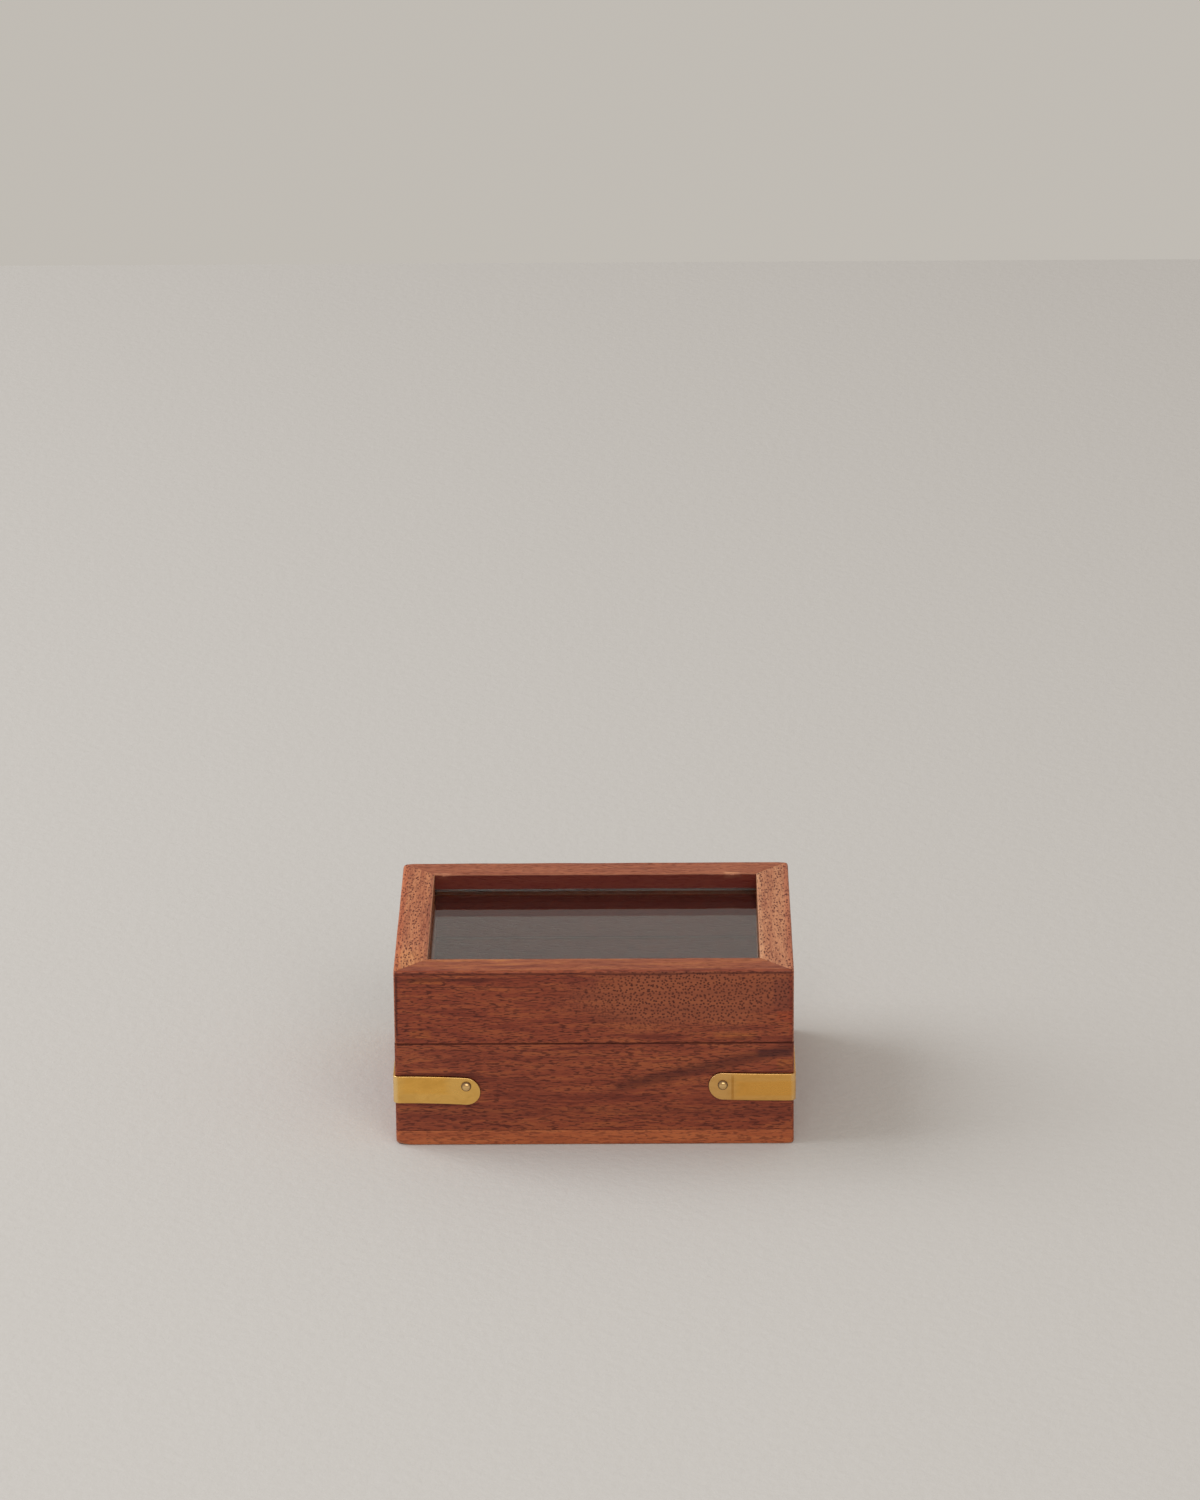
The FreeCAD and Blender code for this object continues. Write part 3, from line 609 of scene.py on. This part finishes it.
def board(material):
    """The board under the walls, worn at its corners, most at the front left."""
    low, high = span("base_board")

    def worn(flat):
        """The radius of the lower arris: exp(-distance^2) from each corner, added to slow waves."""
        x, y = flat[:, 0], flat[:, 1]
        left = np.exp(-(np.hypot((x + BASE_X) / 2.2, (y + BASE_Y) / 1.4)) ** 2)
        corners = np.exp(-(np.hypot(np.abs(x) - BASE_X, np.abs(y) - BASE_Y) / 1.5) ** 2)
        return 0.42 + 1.3 * left + 0.35 * corners + 0.06 * np.sin(x / 3.1) * np.sin(y / 2.3 + 1)

    made = slab(BASE_X, BASE_Y, CORNER_ROUND, low[2] + 0.03, high[2], 0.08, lower_arris=worn, edge_steps=90)
    return piece("base_board_finished", [made], ["base_board"], "base", material)


# ---- shader maths ----
class Wire:
    """A shader socket that can be reckoned with: an expression on wires adds its Math nodes."""

    def __init__(self, nodes, socket):
        self.nodes, self.socket = nodes, socket

    def math(self, operation, first, second=None):
        values = {0: first} if second is None else {0: first, 1: second}
        return self.nodes.node("Math", {"operation": operation}, values)

    def __add__(self, other):
        return self.math("ADD", self, other)

    def __sub__(self, other):
        return self.math("SUBTRACT", self, other)

    def __rsub__(self, other):
        return self.math("SUBTRACT", other, self)

    def __mul__(self, other):
        return self.math("MULTIPLY", self, other)

    def __truediv__(self, other):
        return self.math("DIVIDE", self, other)

    def __pow__(self, other):
        return self.math("POWER", self, other)

    def __abs__(self):
        return self.math("ABSOLUTE", self)

    __radd__, __rmul__ = __add__, __mul__


class Nodes:
    """The nodes of a material or of the world, whichever owns them."""

    def __init__(self, owner):
        self.owner = owner
        owner.use_nodes = True
        self.tree = owner.node_tree
        self.tree.nodes.clear()

    def node(self, kind, settings, sockets, out=0):
        """Adds one node: its settings first, then the values or links of its sockets."""
        made = self.tree.nodes.new("ShaderNode" + kind)
        for key, value in settings.items():
            if key == "stops":
                ramp = made.color_ramp
                while len(ramp.elements) < len(value):
                    ramp.elements.new(0.5)
                for element, (place, colour) in zip(ramp.elements, value):
                    element.position, element.color = place, (*colour, 1)
            else:
                setattr(made, key, value)
        for key, value in sockets.items():
            socket = made.inputs[key]
            if isinstance(value, Wire):
                self.tree.links.new(value.socket, socket)
            elif isinstance(value, tuple) and len(value) == 3 and socket.type == "RGBA":
                socket.default_value = (*value, 1)
            else:
                socket.default_value = value
        return Wire(self, made.outputs[out]) if made.outputs else None

    def mix(self, share, first, second, blend="MIX"):
        """Colours mixed by share."""
        settings = {"data_type": "RGBA", "blend_type": blend}
        return self.node("Mix", settings, {0: share, 6: first, 7: second}, 2)


class Finish(Nodes):
    """A material's nodes, which know the place on the object in millimetres."""

    def __init__(self, name):
        super().__init__(bpy.data.materials.new(name))
        at = self.node("TexCoord", {}, {}, "Object")
        mm = self.node("VectorMath", {"operation": "SCALE"}, {0: at, "Scale": 1 / MM}, "Vector")
        self.x, self.y, self.z = (self.node("SeparateXYZ", {}, {0: mm}, axis) for axis in "XYZ")

    def point(self, along, across, up):
        """A pattern's own coordinates."""
        return self.node("CombineXYZ", {}, {0: along, 1: across, 2: up})

    def noise(self, point, scale=1.0, detail=3.0, rough=0.55, warp=0.0):
        """Clouds of 0 to 1, mostly near a half."""
        return self.node("TexNoise", {}, {"Vector": point, "Scale": scale, "Detail": detail,
                                          "Roughness": rough, "Distortion": warp}, "Fac")

    def cells(self, point, scale, room="2D"):
        """How far off the nearest of many scattered spots is, in parts of their spacing.

        The spots lie on a plane, or all through the wood where room is "3D".
        """
        sockets = {"Vector": point, "Scale": scale}
        return self.node("TexVoronoi", {"voronoi_dimensions": room}, sockets, "Distance")

    def between(self, value, low, high, start=0.0, end=1.0):
        """Eases from start to end while value goes from low to high."""
        return self.node("MapRange", {"interpolation_type": "SMOOTHSTEP"},
                         {0: value, 1: low, 2: high, 3: start, 4: end})

    def largest(self, first, second):
        """The larger of two values."""
        return self.node("Math", {"operation": "MAXIMUM"}, {0: first, 1: second})

    def patched(self, colour, patches, ragged):
        """Multiplies a colour by each patch's tint inside its box: (middle, half sizes, tint).

        The box fades out over its last third, and ragged roughens its outline.
        """
        for middle, halves, tint in patches:
            ways = [abs(at - m) / h for at, m, h in zip((self.x, self.y, self.z), middle, halves)]
            away = self.largest(self.largest(ways[0], ways[1]), ways[2]) + ragged * 0.6 - 0.39
            colour = self.mix(self.between(away, 0.65, 1.1, 1.0, 0.0), colour, tint, "MULTIPLY")
        return colour

    def wear(self):
        """How bare the place is, with painted highlight, from the skin: below nothing for grime and painted
        shade.
        """
        return self.node("Attribute", {"attribute_name": "wear"}, {}, "Fac")

    def surface(self, **sockets):
        """The finish itself: a Principled shader on the output."""
        names = {key.replace("_", " "): value for key, value in sockets.items()}
        shader = self.node("BsdfPrincipled", {}, names)
        self.node("OutputMaterial", {}, {0: shader})
        return self.owner

    def bump(self, height, depth):
        """Relief depth millimetres deep."""
        return self.node("Bump", {}, {"Height": height, "Distance": depth * MM, "Strength": 1.0}, "Normal")


# ---- finishes ----
def wood(name, grain, seed, tones, pores, strength, dotted=None, veins=(), dirt_and_shade=(), patches=(), inside=1.0):
    """Oiled red-brown hardwood with open pores, its grain along X or Y.

    tones are its dark, middle and light colours: slow bands along the grain run between them, and
    fine fibres break the bands up. pores is the length and width of the short dark dashes, and
    strength how dark they are. Along Y, specks join the dashes, which are fainter there. dotted is
    where the grain comes to the face and the dashes turn to dots: (x, z, half width, half height).
    veins are dark streaks on a wall's face: (from, to, height at from, slope, half width, strength).
    The joint list gives heights where a joint is darkened, on the outer and the inner faces, with its
    half width: grime and painted shade in the gap, and painted shade deeper still on the inner faces.
    patches are where the tone differs, as Finish.patched has them; some of them are painted shade, and
    one is a painted highlight. inside is how much of the colour is left round the inside of the box,
    where the rest is a deep red of painted shade.
    """
    f = Finish(name)
    along, across = (f.x, f.y) if grain == "x" else (f.y, f.x)
    shift = along + seed * 37.0
    lie = f.point(shift * 0.02, across * 0.06, f.z * 0.06)
    slow = f.noise(lie, 1.0, 2.0)
    side, rise = across * 0.5 + slow * 3.0, f.z * 0.5 + slow * 3.0
    bands = f.noise(f.point(shift * 0.03, side, rise), 1.0, 4.0, 0.62, 0.5)
    fibre = f.noise(f.point(shift * 0.3, across * 4.5, f.z * 4.5), 1.0, 3.0, 0.65)
    cloud = f.noise(f.point(shift, across, f.z), 0.09, 3.0)
    dark, middle, light = tones
    figure = f.between(bands * 0.62 + fibre * 0.38, 0.34, 0.66)
    colour = f.node("ValToRGB", {"stops": [(0.0, dark), (0.45, middle), (1.0, light)]}, {0: figure}, "Color")
    colour = f.mix(f.between(cloud, 0.35, 0.65, 0.0, 0.35), colour, middle)
    longer, wider = (0.9 / size for size in pores)
    pore = f.noise(f.point(shift * longer, across * wider, f.z * wider), 1.0, 1.6, 0.5, 0.3)
    pore = f.between(pore, 0.5, 0.64) * f.between(cloud + bands * 0.5, 0.5, 0.75, 0.5, 1.0)
    if dotted:
        x, z, half_width, half_height = dotted
        swirl = f.point(f.x + fibre * 0.5, f.z + cloud * 2.0, 0.0)
        dots = f.between(f.cells(swirl, 1.12), 0.17, 0.39, 1.0, 0.0) * f.between(bands, 0.35, 0.6, 0.85, 1.0)
        away = (((f.x - x) / half_width) ** 2.0 + ((f.z - z) / half_height) ** 2.0) ** 0.5
        region = f.between(away + cloud * 0.8 - 0.4 + fibre * 0.4 - 0.2, 0.55, 1.15, 1.0, 0.0)
        region = region * f.between(f.z, LID_TOP - 0.6, LID_TOP - 0.2, 1.0, 0.0)
        pore = pore * (1 - region * 0.75) + dots * region
        pore = pore * f.between(f.z, LID_TOP - 0.5, LID_TOP, 1.0, 0.5)
        colour = f.mix(region * 0.62, colour, tuple(m * k for m, k in zip(middle, (1.2, 1.7, 1.75))))
    if grain == "y":
        spots = f.cells(f.point(f.x * 1.6 + fibre * 0.3, f.y * 0.6 + cloud, f.z * 1.6), 1.0, "3D")
        spots = f.between(spots, 0.24, 0.48, 1.0, 0.0) * f.between(bands, 0.35, 0.6, 0.8, 1.0)
        pore = f.largest(spots, pore * 0.45) * f.between(abs(f.x), LID_X - 0.7, LID_X - 0.2, 1.0, 0.65)
    black = tuple(c * k for c, k in zip(dark, (0.42, 0.4, 0.5)))
    colour = f.mix(pore * strength, colour, black)
    for start, end, height, slope, half_width, depth in veins:
        line = abs(f.z + fibre * 0.9 - 0.45 + slow * 1.6 - 0.8 - (f.x - start) * slope - height)
        reach = f.between(f.x, start - 3.0, start + 6.0) * f.between(f.x, end - 6.0, end + 2.0, 1.0, 0.0)
        vein = f.between(line, half_width * 0.15, half_width, 1.0, 0.0) * reach
        colour = f.mix(vein * depth, colour, black)
    outside = f.largest(f.between(abs(f.x), LID_X - 0.9, LID_X - 0.3),
                        f.between(abs(f.y), LID_Y - 0.9, LID_Y - 0.3))
    # painted shade: this marks the inside faces of the box, painted a deep red below
    shaded_inside = f.between(abs(f.y), LID_Y - WALL + 0.02, LID_Y - WALL + 0.3, 1.0, 0.0)
    shaded_inside = shaded_inside * f.between(abs(f.x), LID_X - WALL + 0.02, LID_X - WALL + 0.3, 1.0, 0.0)
    # grime and painted shade darken the joints, on the outer and the inner faces
    settled_dirt_and_shade = 0.0
    for height, half_width in dirt_and_shade:
        joint = f.between(abs(f.z - height), half_width * 0.35, half_width, 0.75, 0.0)
        settled_dirt_and_shade = f.largest(settled_dirt_and_shade, joint * f.largest(outside, shaded_inside))
    colour = f.mix(settled_dirt_and_shade, colour, black)
    colour = f.patched(colour, patches, cloud + fibre * 0.3)
    # painted shade round the inside of the box, and deeper painted shade in its joints
    if inside < 1:
        deep_red_shade = (0.11, 0.009, 0.007)
        colour = f.mix(shaded_inside * (1 - inside), colour, deep_red_shade)
    colour = f.mix(shaded_inside * settled_dirt_and_shade, colour, tuple(c * 0.2 for c in black))
    bare = f.between(f.wear() + fibre * 0.6 - 0.3, 0.4, 0.95)
    colour = f.mix(bare * 0.45, colour, tuple(min(1.0, c * k) for c, k in zip(light, (1.15, 1.4, 1.6))))
    roughness = 0.32 + cloud * 0.16 + pore * 0.25 - bare * 0.05 + settled_dirt_and_shade * 0.4
    relief = f.bump(fibre * 0.3 - pore * 0.9 + cloud * 0.3, 0.045)
    return f.surface(Base_Color=colour, Roughness=roughness, Normal=relief, Specular_IOR_Level=0.3)


def brass(name, colour, roughness, brushed, tarnish, patches=()):
    """Worn brass: fine scratches along it, a dull film, bright where handled and with painted
    highlight, and dark with grime and painted shade.

    patches are where its tone differs, as Finish.patched has them.
    """
    f = Finish(name)
    scratch = f.noise(f.point((f.x + f.y) * 0.15, f.z * 5.0, 0.0), 1.0, 4.0, 0.6)
    film = f.noise(f.point(f.x * 0.6, f.y * 0.6, f.z * 1.2), 0.3, 4.0, 0.6, 0.8)
    spots = f.between(f.noise(f.point(f.x, f.y, f.z), 1.3, 3.0, 0.6), 0.62, 0.74)
    dull = tuple(c * k for c, k in zip(colour, (0.72, 0.66, 0.55)))
    # the first colour is handled brass and painted highlight; the second is grime and painted shade
    polished, dirt_and_shade = (1.0, 0.74, 0.36), (0.07, 0.03, 0.012)
    tone = f.mix(f.between(film, 0.42, 0.68) * tarnish, colour, dull)
    tone = f.mix(spots * tarnish * 0.6, tone, tuple(c * 0.45 for c in colour))
    # how worn each place is, lightened by painted highlight on strap arrises and bends
    bright_and_highlit = f.wear()
    tone = f.mix(f.between(bright_and_highlit, 0.0, 1.0, 0.0, 0.6), tone, polished)
    tone = f.patched(tone, patches, film)
    # grime and painted shade, where the wear from the skin is below nothing
    grime_and_shade = f.between(bright_and_highlit, -0.9, 0.0, 1.0, 0.0)
    tone = f.mix(grime_and_shade * 0.85, tone, dirt_and_shade)
    rough = roughness + film * 0.22 - 0.11 + spots * 0.15 - bright_and_highlit * 0.08 + scratch * 0.1 - 0.05
    relief = f.bump(scratch * brushed + film * 0.8, 0.004)
    return f.surface(Base_Color=tone, Metallic=1 - grime_and_shade * 0.7, Roughness=rough + grime_and_shade * 0.3, Normal=relief)


def iron(name):
    """Cut steel, dark with a little rust."""
    f = Finish(name)
    steel, brown = (0.33, 0.31, 0.3), (0.13, 0.06, 0.035)
    rust = f.between(f.noise(f.point(f.x, f.y, f.z), 0.9, 5.0, 0.65), 0.45, 0.7)
    tone = f.mix(rust, steel, brown)
    return f.surface(Base_Color=tone, Metallic=f.between(rust, 0.2, 0.9, 1.0, 0.35),
                     Roughness=0.38 + rust * 0.35, Normal=f.bump(rust, 0.03))


def acrylic(name):
    """Clear acrylic with sawn edges, and faint rubbed marks that dull it a little in places."""
    f = Finish(name)
    rubbed = f.noise(f.point(f.x * 0.3, f.y * 1.1, f.z), 1.0, 4.0, 0.7)
    sawn = f.largest(f.between(abs(f.x), pane_high[0] - 0.6, pane_high[0] - 0.1),
                     f.between(abs(f.y), pane_high[1] - 0.6, pane_high[1] - 0.1))
    return f.surface(Base_Color=(0.94, 0.97, 0.955), Transmission_Weight=1.0, IOR=1.49,
                     Roughness=f.between(rubbed, 0.5, 0.8, 0.0, 0.05) + sawn * 0.5)


FRONT = ((0.150, 0.025, 0.013), (0.270, 0.056, 0.024), (0.385, 0.104, 0.034))
LEFT_RAIL = ((0.335, 0.088, 0.039), (0.515, 0.181, 0.080), (0.65, 0.266, 0.123))
RIGHT_RAIL = ((0.36, 0.112, 0.055), (0.52, 0.208, 0.102), (0.63, 0.28, 0.140))
REAR_RAIL = ((0.258, 0.063, 0.029), (0.36, 0.103, 0.0465), (0.443, 0.147, 0.067))
BOARD = ((0.305, 0.067, 0.0245), (0.42, 0.107, 0.038), (0.525, 0.155, 0.053))
ORANGE, REDDER, PURPLE, PALER = (1.18, 1.38, 1.05), (1.12, 0.95, 0.85), (0.62, 0.6, 0.85), (1.5, 2.1, 2.4)
# painted shade: a tint that makes the outer faces of the side and rear rails darker than their tops
FLANK_SHADE = (0.74, 0.62, 0.62)
far_x, far_y, mid_lid = LID_X, LID_Y, (LID_FOOT + LID_TOP) / 2
mid_strap = (strap_low[2] + strap_high[2]) / 2
lid_front_wood = wood(
    "lid_front_wood", "x", 1.0, FRONT, (1.8, 0.31), 0.82, dotted=(24.0, LID_TOP - 6.5, 34.0, 10.0),
    # the first vein is a level dark line along the whole front, just below the top edge
    veins=[(-52, 53, LID_TOP - 0.85, 0.0, 0.42, 0.75), (-52, -24, LID_TOP - 2.6, 0.012, 0.8, 0.6),
           (-50, -8, LID_TOP - 4.6, 0.004, 0.3, 0.6)],
    dirt_and_shade=[(LID_FOOT, 0.5)],
    patches=[((0, -far_y + 4.6, LID_TOP), (60, 4.4, 0.4), (1.2, 1.5, 1.4)),
             ((0, -far_y + WALL, LID_TOP), (60, 4.0, 0.5), (1.12, 1.2, 1.2)),
             ((-29.0, -far_y, mid_lid), (30, 5, 14), (0.97, 0.91, 0.92)),
             # painted shade on the rounded left corner of the lid's front
             ((-far_x, -far_y, mid_lid), (1.1, 5, 9.6), (0.42, 0.36, 0.42)),
             ((far_x, -far_y, mid_lid), (1.3, 5, 9.4), (0.95, 0.75, 0.75)),
             ((-42.5, -far_y, LID_TOP - 2.6), (5, 5, 1.1), ORANGE),
             ((-44.5, -far_y, LID_FOOT + 2.8), (3, 5, 1.3), ORANGE),
             ((36.0, -far_y, LID_FOOT + 1.8), (6, 5, 1.0), ORANGE),
             ((49.0, -far_y, LID_FOOT + 7.6), (3, 5, 1.4), REDDER),
             ((48.5, -far_y, LID_TOP - 7.0), (3, 5, 5.0), (0.8, 0.75, 0.85)),
             ((-3.0, -far_y, LID_TOP - 3.4), (5, 5, 2.2), (0.8, 0.72, 0.85))])
base_front_wood = wood(
    "base_front_wood", "x", 2.0, FRONT, (1.75, 0.31), 0.76,
    veins=[(4, 54, BOARD_TOP + 11.5, 0.235, 2.6, 0.6), (-54, 54, BOARD_TOP + 5.5, 0.0, 2.2, 0.18)],
    dirt_and_shade=[(RIM, 0.3), (BOARD_TOP, 0.25)],
    patches=[((BASE_X - 1.5, -BASE_Y, RIM - 6.0), (3, 5, 1.5), (1.15, 1.35, 1.0)),
             ((BASE_X - 4.5, -BASE_Y, RIM - 2.8), (5, 5, 1.1), PURPLE),
             # painted shadow: a dark line on the wood just above each front strap
             ((-40.0, -BASE_Y, strap_high[2] + 0.1), (12, 5, 0.75), (0.5, 0.42, 0.45)),
             ((40.0, -BASE_Y, strap_high[2] + 0.3), (12, 5, 0.75), (0.6, 0.52, 0.55))])
left_rail_wood = wood(
    "left_rail_wood", "y", 3.0, LEFT_RAIL, (1.9, 0.34), 1.0,
    # painted shade along the inner edge of the top, which faces away from the key lamp
    patches=[((-far_x + WALL, 0, LID_TOP), (1.3, 60, 3.0), (0.75, 0.68, 0.72)),
             ((-far_x, 0, mid_lid - 1.6), (0.9, 60, 12.0), FLANK_SHADE),
             ((-far_x, 0, LID_TOP), (1.8, 60, 5.0), (1.02, 0.85, 0.8)),
             ((-far_x + 4, -far_y + 6, LID_TOP), (4, 9, 1.0), (1.06, 1.12, 0.98))])
right_rail_wood = wood(
    "right_rail_wood", "y", 4.0, RIGHT_RAIL, (1.8, 0.34), 1.0,
    patches=[((far_x, 0, LID_TOP), (1.6, 60, 3.0), (0.95, 0.8, 0.78)),
             ((far_x, 0, mid_lid - 1.6), (0.9, 60, 12.0), FLANK_SHADE),
             # painted highlight along the inner arris, which faces the key lamp
             ((far_x - WALL + 0.3, 0, LID_TOP), (0.8, 60, 1.0), (1.12, 1.25, 1.3))])
rear_rail_wood = wood(
    "rear_rail_wood", "x", 5.0, REAR_RAIL, (1.9, 0.4), 0.55, dirt_and_shade=[(LID_FOOT, 0.45)], inside=0.15,
    patches=[((-40.3, far_y - WALL - 0.4, LID_TOP), (2.6, 1.9, 1.7), PALER),
             ((36.2, far_y - WALL - 0.4, LID_TOP), (2.2, 1.5, 1.4), PALER),
             ((0, far_y, mid_lid - 1.6), (60, 0.9, 12.0), FLANK_SHADE)])
side_wall_wood = wood("side_wall_wood", "y", 6.0, FRONT, (2.1, 0.36), 0.8, dirt_and_shade=[(RIM, 0.3)], inside=0.3)
rear_wall_wood = wood("rear_wall_wood", "x", 7.0, FRONT, (2.1, 0.36), 0.75, dirt_and_shade=[(RIM, 0.45)], inside=0.2)
board_wood = wood("board_wood", "x", 8.0, BOARD, (1.5, 0.34), 0.62)
WARM, DULL = (1.0, 0.93, 0.74), (0.97, 1.02, 1.25)
strap_brass = brass(
    "strap_brass", (0.853, 0.508, 0.136), 0.3, 0.5, 0.35,
    patches=[((7.5 - BASE_X, -BASE_Y, mid_strap + 1.45), (6, 2, 2.4), WARM),
             ((BASE_X - 7.0, -BASE_Y, mid_strap + 0.25), (8, 2, 2.0), WARM),
             ((STRAP_TIP + 0.2, -BASE_Y, mid_strap + 0.65), (6.2, 2, 6.0), DULL),
             # painted shade: a thin dark line across the right front strap, for the shade in its crease
             ((STRAP_TIP + 6.1, -BASE_Y, mid_strap + 0.45), (0.35, 2, 3.4), (0.8, 0.72, 0.6)),
             # painted shade: the right front strap a little darker, as its reflection is dimmer
             ((BASE_X - 11.0, -BASE_Y, mid_strap + 0.65), (16, 2, 6.0), (0.94, 0.865, 0.86)),
             ((0, BASE_Y, mid_strap + 0.15), (46, 2, 2.2), WARM)])
pin_brass = brass("pin_brass", (0.83, 0.55, 0.24), 0.11, 0.2, 0.3)
hinge_brass = brass("hinge_brass", (0.74, 0.43, 0.13), 0.34, 0.5, 0.5)
brad_steel = iron("brad_steel")
clear_acrylic = acrylic("clear_acrylic")


# ---- making the box ----
base_wall("front", base_front_wood)
base_wall("rear", rear_wall_wood)
base_wall("left", side_wall_wood)
base_wall("right", side_wall_wood)
board(board_wood)
lid_rail("front", lid_front_wood)
lid_rail("rear", rear_rail_wood)
lid_rail("left", left_rail_wood)
lid_rail("right", right_rail_wood)
pane(clear_acrylic)
for corner in CORNERS:
    strap(corner)
    strap_pins(corner)
for side in ("left", "right"):
    for which in ("base", "lid"):
        rolled_leaf(side, which)
        hinge_screws(side, which)

for node, material in (("base_board_brads", brad_steel), ("left_hinge_pin", hinge_brass),
                       ("right_hinge_pin", hinge_brass)):
    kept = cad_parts[node]
    if not kept.data.materials:
        kept.data.materials.append(material)
    for slot in kept.material_slots:
        slot.material = material


# ---- floor, surroundings and light ----
def floor(near, far, half_width):
    """A plain pale floor under the box."""
    corners = [(-half_width, near, 0), (half_width, near, 0), (half_width, far, 0), (-half_width, far, 0)]
    mesh = bpy.data.meshes.new("floor")
    mesh.from_pydata([[v * MM for v in c] for c in corners], [], [(0, 1, 2, 3)])
    f = Finish("floor_plaster")
    grain = f.noise(f.point(f.x, f.y, 0.0), 0.35, 5.0, 0.6)
    mesh.materials.append(f.surface(Base_Color=f.mix(grain, (0.585, 0.578, 0.565), (0.615, 0.61, 0.60)),
                                    Roughness=0.85, Specular_IOR_Level=0.2, Normal=f.bump(grain, 0.25)))
    made = bpy.data.objects.new("floor", mesh)
    bpy.context.scene.collection.objects.link(made)


def surroundings(light, background, higher):
    """Even light from all round.

    The camera and clear parts see the pale background. Gloss sees it as it is higher up, where it is
    a little darker.
    """
    n = Nodes(bpy.data.worlds.new("surroundings"))
    colour = light
    for ray, seen in (("Glossy", higher), ("Transmission", background), ("Camera", background)):
        colour = n.mix(n.node("LightPath", {}, {}, f"Is {ray} Ray"), colour, seen)
    n.node("OutputWorld", {}, {0: n.node("Background", {}, {"Color": colour})})
    bpy.context.scene.world = n.owner


def softbox(name, place, aim, size, power, colour):
    """A soft square lamp at place, turned towards aim."""
    lamp = bpy.data.lights.new(name, "AREA")
    lamp.shape = "SQUARE"
    lamp.size = size * MM
    lamp.energy, lamp.color = power, colour
    made = bpy.data.objects.new(name, lamp)
    made.location = Vector(place) * MM
    made.rotation_euler = (Vector(aim) - Vector(place)).to_track_quat("-Z", "Y").to_euler()
    bpy.context.scene.collection.objects.link(made)


def camera():
    """The camera: its tilt, roll and turn about the box, where it stands, and its lens."""
    tilt, roll, turn = math.radians(20.25), math.radians(-0.47), math.radians(0.55)
    away, height, aside = 1515.1, 652.8, 1.75
    focal_length = 150.744
    right = Vector((1, 0, 0))
    up = Vector((0, math.sin(tilt), math.cos(tilt)))
    forward = Vector((0, math.cos(tilt), -math.sin(tilt)))
    leaned_right = right * math.cos(roll) + up * math.sin(roll)
    leaned_up = up * math.cos(roll) - right * math.sin(roll)
    place = Matrix((leaned_right, leaned_up, -forward)).transposed().to_4x4()
    place.translation = Vector((aside, -away, height)) * MM
    lens = bpy.data.cameras.new("camera")
    lens.lens = focal_length
    made = bpy.data.objects.new("camera", lens)
    made.matrix_world = Matrix.Rotation(turn, 4, "Z") @ place
    bpy.context.scene.collection.objects.link(made)
    bpy.context.scene.camera = made


AIM = (0, 0, 20)
floor(near=-3000, far=790, half_width=3000)
surroundings(light=(0.505, 0.46, 0.41), background=(0.53, 0.50, 0.456), higher=(0.462, 0.392, 0.358))
softbox("key", (-1500, 260, 1250), AIM, 1600, power=23.0, colour=(0.96, 0.98, 1.0))
softbox("fill", (300, -1600, 1300), AIM, 1500, power=13.0, colour=(1.0, 0.98, 0.95))
camera()
bpy.context.scene.view_settings.view_transform = "Standard"
